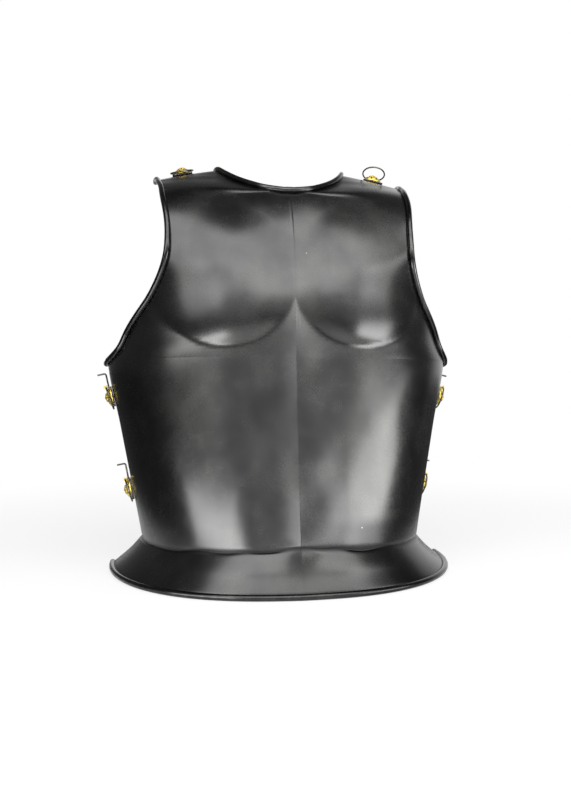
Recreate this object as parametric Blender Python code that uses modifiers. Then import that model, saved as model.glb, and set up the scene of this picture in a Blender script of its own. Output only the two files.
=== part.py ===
"""Steel breastplate: the front plate of a cuirass, standing on its waist rim.

Metres, +Z up. The wearer's chest faces -Y, so -X is the left of the picture.
The origin lies on the ground, under the middle of the plate.
The plate is one sheet with a median ridge, two chest domes, a waist crease,
a flared waist flange and rolled edges at the neck, the armholes and the rim.
Four half hinges sit on the side edges and two on the shoulder ends.
Each half hinge has a leaf, a bent pin, a brass rosette and a tie ring.
"""

import math

import bmesh
import bpy
import numpy as np
from mathutils import Matrix, Vector

# Overall sizes of the sheet.
HALF_WIDTH = 0.203          # ridge to the lower corner of an armhole
FRONT_REACH = 0.150         # widest line forward to the rim under the ridge
BACK_REACH = 0.040          # widest line back to the shoulder ends
SHEET_HEIGHT = 0.474        # ground to the inner corner of a shoulder end
SHEET = 0.0013              # thickness of the steel

# Rolled edges: the sheet turns outward round this inner radius.
ROLL_INNER_RADIUS = 0.0019

# Median ridge.
RIDGE_HEIGHT = 0.008
RIDGE_HALF_WIDTH = 0.050

# Chest domes, each an oval that is steep below and fades above.
CHEST_CENTRE_OUT = 0.075
CHEST_CENTRE_UP = 0.316
CHEST_HALF_WIDTH = 0.077
CHEST_DROP = 0.065
CHEST_RISE = 0.098
CHEST_HEIGHT = 0.0095
CHEST_FULLNESS = 0.6        # how much rounder than a parabola the lower edge falls

# Half hinges. The leaf lies on the outer face and its barrel clears the edge.
PIECE_GAP = 0.00035
LEAF_THICKNESS = 0.0015
LEAF_HEIGHT = 0.024
LEAF_FRONT = 0.011          # rosette centre to the free end of the leaf
EDGE_TO_ROSETTE = 0.0145    # edge of the sheet to the rosette centre
BARREL_PAST_EDGE = 0.004    # edge of the sheet to the axis of the barrel
BARREL_RADIUS = 0.0027
KNUCKLE_LENGTH = 0.0068
MATE_GAP = 0.0064           # room for the knuckle of the other half
PIN_RADIUS = 0.001
PIN_ABOVE = 0.019           # pin past the barrel at its bent end
PIN_BELOW = 0.005
PIN_ARM = 0.010
PIN_BEND_RADIUS = 0.0022

# Rosettes and tie rings.
ROSETTE_RADIUS = 0.0118
ROSETTE_HEIGHT = 0.0082
ROSETTE_EDGE = 0.0013
PETALS = 8
POST_RADIUS = 0.0016
POST_HEAD_RADIUS = 0.0034
POST_HEAD_THICKNESS = 0.0012
POST_SLACK = 0.0006         # room between the post head and the inner face
EYE_RADIUS = 0.0026
EYE_THICKNESS = 0.002
EYE_UP = 0.0044             # rosette base to the middle of the eye
RING_WIRE_RADIUS = 0.0009
RING_RADIUS = 0.0134        # ring centre to wire centre
RING_RAISED = math.radians(32.0)

# Where the half hinges sit.
UPPER_SIDE_UP = 0.199
LOWER_SIDE_UP = 0.091
SHOULDER_SHARE = 0.55       # across the shoulder end, from the neck outward

# Half sections of the sheet, from the rim to the shoulder end. Each row runs
# from the ridge or the neck edge (in) to the side edge or armhole (out).
# across is a share of HALF_WIDTH, up of SHEET_HEIGHT. front is a share of
# FRONT_REACH where negative and of BACK_REACH where positive.
# turn is how far the section bends round, in degrees.
# ridge is a share of RIDGE_HEIGHT and spread of RIDGE_HALF_WIDTH.
COLUMNS = ("name", "steps", "in_across", "in_front", "in_up", "out_across",
           "out_front", "out_up", "turn", "ridge", "spread")
SECTIONS = (
    ("rim",      1, 0.000, -0.985, 0.008, 0.970,  0.93, 0.008, 90, 0.10, 0.80),
    ("flange",   2, 0.000, -0.935, 0.050, 0.878,  0.92, 0.040, 90, 0.15, 0.80),
    ("waist",    2, 0.000, -0.905, 0.097, 0.806,  0.92, 0.074, 90, 0.85, 0.90),
    ("low",      2, 0.000, -0.850, 0.210, 0.868,  0.92, 0.206, 90, 1.00, 1.00),
    ("belly",    3, 0.000, -0.782, 0.350, 0.936,  0.92, 0.350, 90, 1.00, 1.00),
    ("corner",   2, 0.000, -0.732, 0.500, 1.010,  0.93, 0.502, 90, 0.80, 0.90),
    ("arm",      3, 0.000, -0.730, 0.507, 0.986,  0.05, 0.506, 77, 0.78, 0.88),
    ("arm_low",  3, 0.000, -0.705, 0.590, 0.868, -0.21, 0.572, 63, 0.45, 0.60),
    ("arm_in",   3, 0.000, -0.677, 0.660, 0.736, -0.40, 0.652, 49, 0.22, 0.45),
    ("arm_mid",  2, 0.000, -0.636, 0.735, 0.662, -0.51, 0.727, 46, 0.10, 0.35),
    ("arm_up",   2, 0.000, -0.566, 0.802, 0.653, -0.52, 0.784, 42, 0.06, 0.30),
    ("throat",   2, 0.000, -0.474, 0.858, 0.663, -0.46, 0.836, 40, 0.04, 0.25),
    ("neck",     2, 0.000, -0.385, 0.901, 0.677, -0.36, 0.879, 38, 0.03, 0.25),
    ("neck_2",   1, 0.118, -0.355, 0.907, 0.690, -0.27, 0.905, 34, 0.00, 0.25),
    ("neck_3",   1, 0.207, -0.270, 0.924, 0.704, -0.17, 0.925, 30, 0.00, 0.25),
    ("neck_4",   1, 0.281, -0.165, 0.945, 0.715, -0.06, 0.942, 26, 0.00, 0.25),
    ("neck_5",   1, 0.337, -0.050, 0.969, 0.724,  0.14, 0.956, 22, 0.00, 0.25),
    ("strap",    2, 0.370,  0.250, 0.990, 0.732,  0.50, 0.965, 18, 0.00, 0.25),
    ("end",      0, 0.385,  0.980, 1.000, 0.740,  1.00, 0.969, 14, 0.00, 0.25),
)
SHARP_ROWS = ("waist",)     # rows where the sheet is creased
IN_SHARP = ("waist", "neck")
ROUNDNESS = 1.15            # over 1, the front is flatter than an ellipse
HALF_STEPS = 13             # faces from the ridge to the side edge
ROLL_STEPS = 5

MODEL_NAME = "steel_breastplate"


def column(name):
    """Returns one column of the section table as a list."""
    place = COLUMNS.index(name)
    return [row[place] for row in SECTIONS]


NAMES = column("name")
ROW_OF = {name: place for place, name in enumerate(NAMES)}


def forward(shares):
    """Turns front shares into Y: forward is negative."""
    shares = np.asarray(shares, float)
    return np.where(shares < 0.0, shares * FRONT_REACH, shares * BACK_REACH)


def run_of_rows():
    """Returns how far along the ridge and neck edge each row of the table lies."""
    inner = np.stack([HALF_WIDTH * np.array(column("in_across")),
                      forward(column("in_front")),
                      SHEET_HEIGHT * np.array(column("in_up"))], axis=-1)
    steps = np.linalg.norm(np.diff(inner, axis=0), axis=1)
    return np.concatenate([[0.0], np.cumsum(steps)])


def smooth(values, at, breaks):
    """Reads smooth curves through the table's rows, with corners at breaks."""
    values = np.asarray(values, float)
    run = run_of_rows()
    place = np.interp(at, np.arange(len(run)), run)
    result = np.empty(place.shape)
    cuts = [0] + sorted(ROW_OF[name] for name in breaks) + [len(values) - 1]
    for first, last in zip(cuts, cuts[1:]):
        part = values[first:last + 1]
        knots = run[first:last + 1]
        width = np.diff(knots)
        rate = np.diff(part) / width
        slope = np.empty(len(part))
        slope[0] = rate[0]
        slope[-1] = rate[-1]
        if len(part) > 2:
            slope[1:-1] = ((rate[:-1] * width[1:] + rate[1:] * width[:-1])
                           / (width[:-1] + width[1:]))
            slope[0] = 1.5 * rate[0] - 0.5 * slope[1]
            slope[-1] = 1.5 * rate[-1] - 0.5 * slope[-2]
            # The curve rises or falls as its rows do, and is level where they turn.
            least = np.minimum(np.abs(rate[:-1]), np.abs(rate[1:])) * 3.0
            even = rate[:-1] * rate[1:] > 0.0
            slope[1:-1] = np.where(even, np.clip(slope[1:-1], -least, least), 0.0)
        inside = (place >= knots[0]) & (place <= knots[-1])
        low = np.clip(np.searchsorted(knots, place[inside], side="right") - 1,
                      0, len(part) - 2)
        share = (place[inside] - knots[low]) / width[low]
        result[inside] = ((2 * share ** 3 - 3 * share ** 2 + 1) * part[low]
                          + (share ** 3 - 2 * share ** 2 + share) * slope[low] * width[low]
                          + (3 * share ** 2 - 2 * share ** 3) * part[low + 1]
                          + (share ** 3 - share ** 2) * slope[low + 1] * width[low])
    return result


def chest_dome(across, up):
    """Returns how far the chest domes stand out at a place."""
    side = (across - CHEST_CENTRE_OUT) / CHEST_HALF_WIDTH
    above = np.clip((up - CHEST_CENTRE_UP) / CHEST_RISE, 0.0, None)
    below = np.clip((CHEST_CENTRE_UP - up) / CHEST_DROP, 0.0, None)
    inside = np.clip(1.0 - side ** 2 - above ** 2 - below ** 2, 0.0, 1.0)
    full = 1.0 + CHEST_FULLNESS * np.clip(below, 0.0, 1.0) ** 2
    return CHEST_HEIGHT * full * inside ** (1.0 + np.clip(above, 0.0, 1.0))


def whole_sections():
    """Returns the sections as if none was cut short by an armhole.

    Each section is part of a quarter turn. The result has its reach across,
    back and up over the whole quarter, so that the sheet runs on smoothly
    where the armholes begin.
    """
    turn = np.radians(column("turn"))
    across = HALF_WIDTH * (np.array(column("out_across")) - column("in_across"))
    up = SHEET_HEIGHT * (np.array(column("out_up")) - column("in_up"))
    back = (forward(column("out_front")) - forward(column("in_front"))
            - RIDGE_HEIGHT * np.array(column("ridge")))
    return (across / np.sin(turn), back / (1.0 - np.cos(turn)) ** ROUNDNESS,
            up / np.sin(turn))


def sheet_point(row, share):
    """Returns points of the sheet's outer face on the +X half.

    row counts along the section table and share runs from 0 at the ridge or
    neck edge to 1 at the side edge or armhole.
    """
    row, share = np.broadcast_arrays(np.asarray(row, float),
                                     np.asarray(share, float))
    turn = np.radians(smooth(column("turn"), row, ("corner",)))
    in_x = HALF_WIDTH * smooth(column("in_across"), row, IN_SHARP)
    in_y = smooth(forward(column("in_front")), row, IN_SHARP)
    in_z = SHEET_HEIGHT * smooth(column("in_up"), row, IN_SHARP)
    across, back, up = (smooth(part, row, SHARP_ROWS) for part in whole_sections())
    ridge = RIDGE_HEIGHT * smooth(column("ridge"), row, SHARP_ROWS)
    spread = RIDGE_HALF_WIDTH * smooth(column("spread"), row, SHARP_ROWS)
    x = in_x + across * np.sin(turn * share)
    z = in_z + up * np.sin(turn * share)
    near = np.clip(1.0 - (x - in_x) / spread, 0.0, 1.0) ** 2
    y = in_y + ridge * (1.0 - near) + back * (1.0 - np.cos(turn * share)) ** ROUNDNESS
    y = y - chest_dome(x, z)
    return np.stack([x, y, z], axis=-1)


def unit(vectors):
    """Returns vectors of length one."""
    return vectors / np.linalg.norm(vectors, axis=-1, keepdims=True)


def roll(edge, along, normal, angles):
    """Returns the points of a rolled edge, one row for each edge point.

    edge, along and normal are the edge's points, its direction and the outer
    face's normal. The sheet leaves the edge sideways and turns outward.
    """
    away = unit(np.cross(along, normal))
    centre = edge + normal * ROLL_INNER_RADIUS
    turn = np.asarray(angles, float)
    radial = (-normal[:, None] * np.cos(turn)[..., None]
              + away[:, None] * np.sin(turn)[..., None])
    return centre[:, None] + ROLL_INNER_RADIUS * radial


def sheet_rows():
    """Returns the row value of each mesh row."""
    rows = []
    for place, steps in enumerate(column("steps")):
        for step in range(steps):
            rows.append(place + step / steps)
    rows.append(len(SECTIONS) - 1)
    return np.array(rows)


def sheet_points():
    """Returns the half sheet with its rolls as a grid of points.

    The grid has ROLL_STEPS more rows below the rim, and as many more columns
    on the neck's side and on the armhole's side. The rows and columns that no
    roll uses are left empty.
    """
    rows = sheet_rows()
    shares = np.linspace(0.0, 1.0, HALF_STEPS + 1) ** 1.15
    face = sheet_point(rows[:, None], shares[None, :])
    across = np.gradient(face, axis=1)
    upward = np.gradient(face, axis=0)
    upward[0] = face[1] - face[0]
    normal = unit(np.cross(across, upward))
    grid = np.zeros((len(rows) + ROLL_STEPS, HALF_STEPS + 1 + 2 * ROLL_STEPS, 3))
    steps = np.arange(ROLL_STEPS)

    # The neck's roll starts on the plane of symmetry.
    neck = np.nonzero(rows >= ROW_OF["neck"])[0]
    edge = face[neck, 0]
    along = np.gradient(edge, axis=0)
    along[0] = (1.0, 0.0, 0.0)
    side = normal[neck, 0].copy()
    side[0, 0] = 0.0
    side = unit(side - unit(along) * np.sum(side * unit(along), -1, keepdims=True))
    angles = np.radians(22.5 + 45.0 * steps)
    turned = roll(edge, -along, side, np.tile(angles, (len(neck), 1)))
    turned[0, :, 0] = 0.0
    grid[ROLL_STEPS + neck, :ROLL_STEPS] = turned[:, ::-1]

    # The armhole's roll runs from the lower corner to the shoulder end.
    arm = np.nonzero(rows >= ROW_OF["corner"])[0]
    edge = face[arm, -1]
    along = np.gradient(edge, axis=0)
    side = normal[arm, -1]
    side = unit(side - unit(along) * np.sum(side * unit(along), -1, keepdims=True))
    turned = roll(edge, along, side, np.tile(angles, (len(arm), 1)))
    grid[ROLL_STEPS + arm, -ROLL_STEPS:] = turned

    # The rim's roll has a level facet below, on which the plate stands.
    level = ROLL_INNER_RADIUS * math.cos(math.radians(22.5)) + SHEET
    side = normal[0]
    side[0, 0] = 0.0
    side = unit(side)
    rise = level - (face[0, :, 2] + side[:, 2] * ROLL_INNER_RADIUS)
    face[0, :, 2] += rise
    slope = np.arctan2(side[:, 2], np.hypot(side[:, 0], side[:, 1]))
    flat = np.stack([side[:, 0], side[:, 1], 0.0 * side[:, 0]], axis=-1)
    along = np.cross(unit(flat), (0.0, 0.0, -1.0))
    angles = np.radians(67.5 + 45.0 * steps)[None, :] - slope[:, None]
    turned = roll(face[0], along, side, angles)
    turned[0, :, 0] = 0.0
    grid[:ROLL_STEPS, ROLL_STEPS:-ROLL_STEPS] = np.swapaxes(turned, 0, 1)[::-1]

    grid[ROLL_STEPS:, ROLL_STEPS:-ROLL_STEPS] = face
    used = np.zeros(grid.shape[:2], bool)
    used[ROLL_STEPS + neck[0]:, :ROLL_STEPS] = True
    used[ROLL_STEPS + arm[0]:, -ROLL_STEPS:] = True
    used[:, ROLL_STEPS:-ROLL_STEPS] = True
    return grid, used


def hinge_place(row, share, toward_row, toward_share):
    """Returns the frame of a half hinge on the outer face.

    The frame's x points to the edge that carries the barrel, z out of the
    sheet and y along the edge.
    """
    small = 0.01
    spot = sheet_point(row, share)
    over = sheet_point(row, share + small) - sheet_point(row, share - small)
    up = sheet_point(row + small, share) - sheet_point(row - small, share)
    out = unit(np.cross(over, up))
    side = sheet_point(toward_row, toward_share) - spot
    side = unit(side - out * np.dot(side, out))
    return spot, side, np.cross(out, side), out


def side_place(height):
    """Returns the frame of a half hinge on the side edge."""
    rows = np.linspace(ROW_OF["waist"], ROW_OF["corner"], 200)
    row = np.interp(height, sheet_point(rows, 1.0)[:, 2], rows)
    shares = np.linspace(1.0, 0.4, 400)
    path = sheet_point(row, shares)
    run = np.concatenate([[0.0], np.cumsum(np.linalg.norm(np.diff(path, axis=0), axis=1))])
    share = np.interp(EDGE_TO_ROSETTE, run, shares)
    spot, side, edge, out = hinge_place(row, share, row, 1.0)
    edge = sheet_point(row + 0.1, 1.0) - sheet_point(row - 0.1, 1.0)
    edge = unit(edge - out * np.dot(edge, out))
    return spot, np.cross(edge, out), edge, out


def shoulder_place():
    """Returns the frame of a half hinge on the shoulder end."""
    last = len(SECTIONS) - 1
    rows = np.linspace(last, last - 3.0, 400)
    path = sheet_point(rows, SHOULDER_SHARE)
    run = np.concatenate([[0.0], np.cumsum(np.linalg.norm(np.diff(path, axis=0), axis=1))])
    row = np.interp(EDGE_TO_ROSETTE, run, rows)
    spot, side, edge, out = hinge_place(row, SHOULDER_SHARE, last, SHOULDER_SHARE)
    edge = sheet_point(last, SHOULDER_SHARE - 0.2) - sheet_point(last, SHOULDER_SHARE + 0.2)
    edge = unit(edge - out * np.dot(edge, out))
    return spot, np.cross(edge, out), edge, out


def frame_matrix(place, mirrored, lift=0.0):
    """Returns a world matrix for a frame, on either half of the plate."""
    spot, side, edge, out = (Vector(part) for part in place)
    if mirrored:
        for vector in (spot, side, edge, out):
            vector.x = -vector.x
        edge = out.cross(side)
    spot = spot + out * lift
    turn = Matrix((side, edge, out)).transposed().to_4x4()
    turn.translation = spot
    return turn


def make_material(name, colour, roughness, metallic=1.0):
    """Returns a Principled material."""
    material = bpy.data.materials.new(name)
    material.use_nodes = True
    shader = material.node_tree.nodes["Principled BSDF"]
    shader.inputs["Base Color"].default_value = (*colour, 1.0)
    shader.inputs["Roughness"].default_value = roughness
    shader.inputs["Metallic"].default_value = metallic
    return material


def add_object(name, data, collection, material=None):
    """Links a new object and gives it a material of its own."""
    thing = bpy.data.objects.new(name, data)
    collection.objects.link(thing)
    if material is not None:
        data.materials.clear()
        data.materials.append(material)
    return thing


def mesh_from(work, name):
    """Turns a bmesh into mesh data."""
    data = bpy.data.meshes.new(name)
    work.to_mesh(data)
    work.free()
    return data


def baked(thing, name):
    """Returns the evaluated mesh of an object, with its caps welded."""
    bpy.context.view_layer.update()
    graph = bpy.context.evaluated_depsgraph_get()
    data = bpy.data.meshes.new_from_object(thing.evaluated_get(graph))
    data.name = name
    work = bmesh.new()
    work.from_mesh(data)
    bmesh.ops.remove_doubles(work, verts=work.verts, dist=0.000002)
    work.to_mesh(data)
    work.free()
    return data


def cut_or_join(thing, other, operation, cutters):
    """Adds an exact Boolean with a hidden helper object."""
    for collection in list(other.users_collection):
        collection.objects.unlink(other)
    cutters.objects.link(other)
    other.hide_render = True
    other.display_type = "WIRE"
    step = thing.modifiers.new(other.name, "BOOLEAN")
    step.operation = operation
    step.solver = "EXACT"
    step.object = other


def rod(name, radius, length, centre, axis, collection, segments=16):
    """Adds a closed round rod."""
    work = bmesh.new()
    bmesh.ops.create_cone(work, cap_ends=True, segments=segments, radius1=radius,
                          radius2=radius, depth=length)
    turn = Vector((0.0, 0.0, 1.0)).rotation_difference(Vector(axis)).to_matrix().to_4x4()
    bmesh.ops.transform(work, matrix=Matrix.Translation(centre) @ turn, verts=work.verts)
    return add_object(name, mesh_from(work, name), collection)


def block(name, low, high, collection):
    """Adds a closed box between two corners."""
    work = bmesh.new()
    bmesh.ops.create_cube(work, size=1.0)
    low = Vector(low)
    high = Vector(high)
    size = Matrix.Diagonal((high - low).to_4d())
    size[3][3] = 1.0
    bmesh.ops.transform(work, matrix=Matrix.Translation((low + high) / 2) @ size,
                        verts=work.verts)
    return add_object(name, mesh_from(work, name), collection)


def build_sheet(collection, cutters, material, places):
    """Builds the plate, with a hole for the post of each rosette."""
    grid, used = sheet_points()
    row_steps = grid.shape[0] - 1
    column_steps = grid.shape[1] - 1
    work = bmesh.new()
    bmesh.ops.create_grid(work, x_segments=column_steps, y_segments=row_steps, size=0.5)
    cells = {}
    for vertex in work.verts:
        place = (round((vertex.co.y + 0.5) * row_steps),
                 round((vertex.co.x + 0.5) * column_steps))
        cells[vertex] = place
    unused = [vertex for vertex, place in cells.items() if not used[place]]
    for vertex, place in cells.items():
        vertex.co = grid[place]
    bmesh.ops.delete(work, geom=unused, context="VERTS")
    data = mesh_from(work, "breastplate_half")
    half = add_object("breastplate_half", data, cutters)
    mirror = half.modifiers.new("Mirror", "MIRROR")
    mirror.use_clip = True
    mirror.merge_threshold = 0.00001
    wall = half.modifiers.new("Sheet", "SOLIDIFY")
    wall.thickness = SHEET
    wall.offset = -1.0
    wall.use_even_offset = True
    wall.use_quality_normals = True
    data = baked(half, "breastplate")
    bpy.data.objects.remove(half)

    # The foot of the rim's roll is made truly level.
    for vertex in data.vertices:
        if vertex.co.z < SHEET / 4:
            vertex.co.z = 0.0
    plate = add_object("breastplate", data, collection, material)
    for number, (place, mirrored) in enumerate(places):
        name = f"post_hole_{number + 1}"
        reach = 6 * SHEET
        hole = rod(name, POST_RADIUS + PIECE_GAP, 2 * reach, (0, 0, 0), (0, 0, 1),
                   cutters, segments=10)
        hole.matrix_world = frame_matrix(place, mirrored)
        cut_or_join(plate, hole, "DIFFERENCE", cutters)
    plate.data.shade_smooth()
    plate.data.set_sharp_from_angle(angle=math.radians(28.0))
    return plate


def barrel_axis():
    """Returns where the barrel's axis lies in a half hinge's frame."""
    return EDGE_TO_ROSETTE + BARREL_PAST_EDGE, PIECE_GAP + BARREL_RADIUS


def build_leaf(name, matrix, collection, cutters, material):
    """Builds a hinge leaf with two bored knuckles."""
    axis_x, axis_z = barrel_axis()
    top = PIECE_GAP + LEAF_THICKNESS
    leaf = block(name, (-LEAF_FRONT, -LEAF_HEIGHT / 2, PIECE_GAP),
                 (EDGE_TO_ROSETTE, LEAF_HEIGHT / 2, top), collection)
    work = bmesh.new()
    work.from_mesh(leaf.data)
    upright = [edge for edge in work.edges
               if abs(edge.verts[0].co.z - edge.verts[1].co.z) > LEAF_THICKNESS / 2
               and edge.verts[0].co.x < 0.0]
    bmesh.ops.bevel(work, geom=upright, offset=LEAF_HEIGHT / 6, segments=2,
                    profile=0.5, affect="EDGES", material=-1)
    work.to_mesh(leaf.data)
    work.free()
    for sign, end in ((1, "upper"), (-1, "lower")):
        middle = sign * (MATE_GAP + KNUCKLE_LENGTH) / 2
        knuckle = rod(f"{name}_{end}_knuckle", BARREL_RADIUS, KNUCKLE_LENGTH,
                      (axis_x, middle, axis_z), (0, 1, 0), cutters, segments=10)
        knuckle.matrix_world = matrix
        half = KNUCKLE_LENGTH * 0.49
        tongue = block(f"{name}_{end}_tongue",
                       (EDGE_TO_ROSETTE - LEAF_THICKNESS, middle - half, PIECE_GAP * 1.001),
                       (axis_x, middle + half, top * 0.999), cutters)
        tongue.matrix_world = matrix
        cut_or_join(leaf, tongue, "UNION", cutters)
        cut_or_join(leaf, knuckle, "UNION", cutters)
    bore = rod(f"{name}_bore", PIN_RADIUS + PIECE_GAP, 2 * LEAF_HEIGHT,
               (axis_x, 0, axis_z), (0, 1, 0), cutters, segments=8)
    post = rod(f"{name}_post_hole", POST_RADIUS + PIECE_GAP, 8 * LEAF_THICKNESS,
               (0, 0, 0), (0, 0, 1), cutters, segments=8)
    for cutter in (bore, post):
        cutter.matrix_world = matrix
        cut_or_join(leaf, cutter, "DIFFERENCE", cutters)
    leaf.matrix_world = matrix
    leaf.data.materials.append(material)
    leaf.data.shade_smooth()
    leaf.data.set_sharp_from_angle(angle=math.radians(35.0))
    return leaf


def build_pin(name, matrix, up, arm_way, collection, material):
    """Builds a hinge pin with its bent arm.

    up is +1 or -1, the end along y that is bent. arm_way is the arm's
    direction in the half hinge's frame.
    """
    axis_x, axis_z = barrel_axis()
    half_barrel = KNUCKLE_LENGTH + MATE_GAP / 2
    top = half_barrel + PIN_ABOVE
    points = [Vector((0, -up * (half_barrel + PIN_BELOW), 0))]
    arm = Vector(arm_way)
    for step in range(3):
        angle = math.radians(45.0 * step)
        height = top - PIN_BEND_RADIUS * (1.0 - math.sin(angle))
        points.append(Vector((0, up * height, 0)) + arm * PIN_BEND_RADIUS * (1.0 - math.cos(angle)))
    points.append(Vector((0, up * top, 0)) + arm * PIN_ARM)
    curve = bpy.data.curves.new(name, "CURVE")
    curve.dimensions = "3D"
    curve.bevel_depth = PIN_RADIUS
    curve.bevel_resolution = 2
    curve.use_fill_caps = True
    spline = curve.splines.new("POLY")
    spline.points.add(len(points) - 1)
    for point, place in zip(spline.points, points):
        point.co = (*place, 1.0)
    guide = add_object(f"{name}_line", curve, collection)
    data = baked(guide, name)
    bpy.data.objects.remove(guide)
    pin = add_object(name, data, collection, material)
    pin.matrix_world = matrix @ Matrix.Translation((axis_x, 0, axis_z))
    pin.data.shade_smooth()
    pin.data.set_sharp_from_angle(angle=math.radians(40.0))
    return pin


def rosette_profile():
    """Returns the turned profile of a rosette, top to bottom, as radius and height."""
    base = 0.0
    under = -(PIECE_GAP * 2 + LEAF_THICKNESS + SHEET + POST_SLACK)
    tall = ROSETTE_HEIGHT
    wide = ROSETTE_RADIUS
    return (
        (0.0, tall),
        (wide * 0.16, tall * 0.97),
        (wide * 0.30, tall * 0.85),
        (wide * 0.62, tall * 0.68),
        (wide * 0.80, tall * 0.40),
        (wide * 0.86, ROSETTE_EDGE),
        (wide, ROSETTE_EDGE),
        (wide, base),
        (POST_RADIUS, base),
        (POST_RADIUS, under),
        (POST_HEAD_RADIUS, under),
        (0.0, under - POST_HEAD_THICKNESS),
    )


def build_rosette(name, matrix, eye_way, collection, cutters, material):
    """Builds a brass rosette with its post and the eye for its ring."""
    profile = rosette_profile()
    data = bpy.data.meshes.new(f"{name}_profile")
    work = bmesh.new()
    corners = [work.verts.new((radius, 0.0, height)) for radius, height in profile]
    for first, second in zip(corners, corners[1:]):
        work.edges.new((first, second))
    work.to_mesh(data)
    work.free()
    outline = add_object(f"{name}_profile", data, cutters)
    spin = outline.modifiers.new("Turn", "SCREW")
    spin.steps = 2 * PETALS
    spin.render_steps = 2 * PETALS
    spin.use_merge_vertices = True
    spin.merge_threshold = 0.000002
    data = baked(outline, name)
    bpy.data.objects.remove(outline)

    # Petals: the dome dips between them, deepest halfway out.
    for vertex in data.vertices:
        radius = math.hypot(vertex.co.x, vertex.co.y) / ROSETTE_RADIUS
        if vertex.co.z > ROSETTE_EDGE * 1.01 and radius > 0.30:
            angle = math.atan2(vertex.co.y, vertex.co.x)
            dip = 0.5 - 0.5 * math.cos(PETALS * angle)
            vertex.co.z *= 1.0 - 0.22 * dip
    rosette = add_object(name, data, collection, material)
    way = Vector(eye_way)
    across = Vector((0, 0, 1)).cross(way)
    eye = rod(f"{name}_eye", EYE_RADIUS, EYE_THICKNESS,
              way * ROSETTE_RADIUS * 1.03 + Vector((0, 0, EYE_UP)), across, cutters, segments=12)
    neck = rod(f"{name}_eye_neck", EYE_THICKNESS * 0.47, ROSETTE_RADIUS * 0.5,
               way * ROSETTE_RADIUS * 0.66 + Vector((0, 0, EYE_UP * 0.8)), way, cutters, segments=8)
    hole = rod(f"{name}_eye_hole", RING_WIRE_RADIUS + PIECE_GAP * 1.4, EYE_THICKNESS * 3,
               way * ROSETTE_RADIUS * 1.03 + Vector((0, 0, EYE_UP)), across, cutters, segments=8)
    for helper, operation in ((neck, "UNION"), (eye, "UNION"), (hole, "DIFFERENCE")):
        helper.matrix_world = matrix
        cut_or_join(rosette, helper, operation, cutters)
    rosette.matrix_world = matrix
    rosette.data.shade_smooth()
    rosette.data.set_sharp_from_angle(angle=math.radians(35.0))
    return rosette


def ring_rest_angle():
    """Returns how far a ring that lies on the leaf leans in from the sheet's plane."""
    return math.asin((EYE_UP - RING_WIRE_RADIUS - PIECE_GAP) / (2 * RING_RADIUS))


def build_ring(name, matrix, eye_way, raised, collection, material):
    """Builds a tie ring under an empty that stands in the eye."""
    way = Vector(eye_way)
    across = Vector((0, 0, 1)).cross(way)
    work = bmesh.new()
    bpy.ops.mesh.primitive_torus_add(major_segments=18, minor_segments=5,
                                     major_radius=RING_RADIUS, minor_radius=RING_WIRE_RADIUS)
    made = bpy.context.active_object
    work.from_mesh(made.data)
    bpy.data.objects.remove(made)
    bmesh.ops.translate(work, verts=work.verts, vec=(-RING_RADIUS, 0.0, 0.0))
    ring = add_object(name, mesh_from(work, name), collection, material)
    pivot = bpy.data.objects.new(f"{name}_pivot", None)
    pivot.empty_display_size = RING_RADIUS
    collection.objects.link(pivot)
    lean = ring_rest_angle() - raised
    turn = Matrix((way, across, (0, 0, 1))).transposed().to_4x4()
    place = Matrix.Translation(way * ROSETTE_RADIUS * 1.03 + Vector((0, 0, EYE_UP)))
    pivot.matrix_world = matrix @ place @ turn @ Matrix.Rotation(-lean, 4, "Y")
    ring.parent = pivot
    ring.data.shade_smooth()
    return ring, pivot


def centre_on_ground(collection):
    """Moves everything along Y so that the origin is under the middle."""
    bpy.context.view_layer.update()
    graph = bpy.context.evaluated_depsgraph_get()
    reach = []
    for thing in collection.objects:
        if thing.type == "MESH":
            shape = thing.evaluated_get(graph)
            reach += [(shape.matrix_world @ vertex.co).y for vertex in shape.data.vertices]
    middle = (min(reach) + max(reach)) / 2
    for thing in bpy.data.objects:
        if thing.parent is None:
            thing.location.y -= middle


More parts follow.
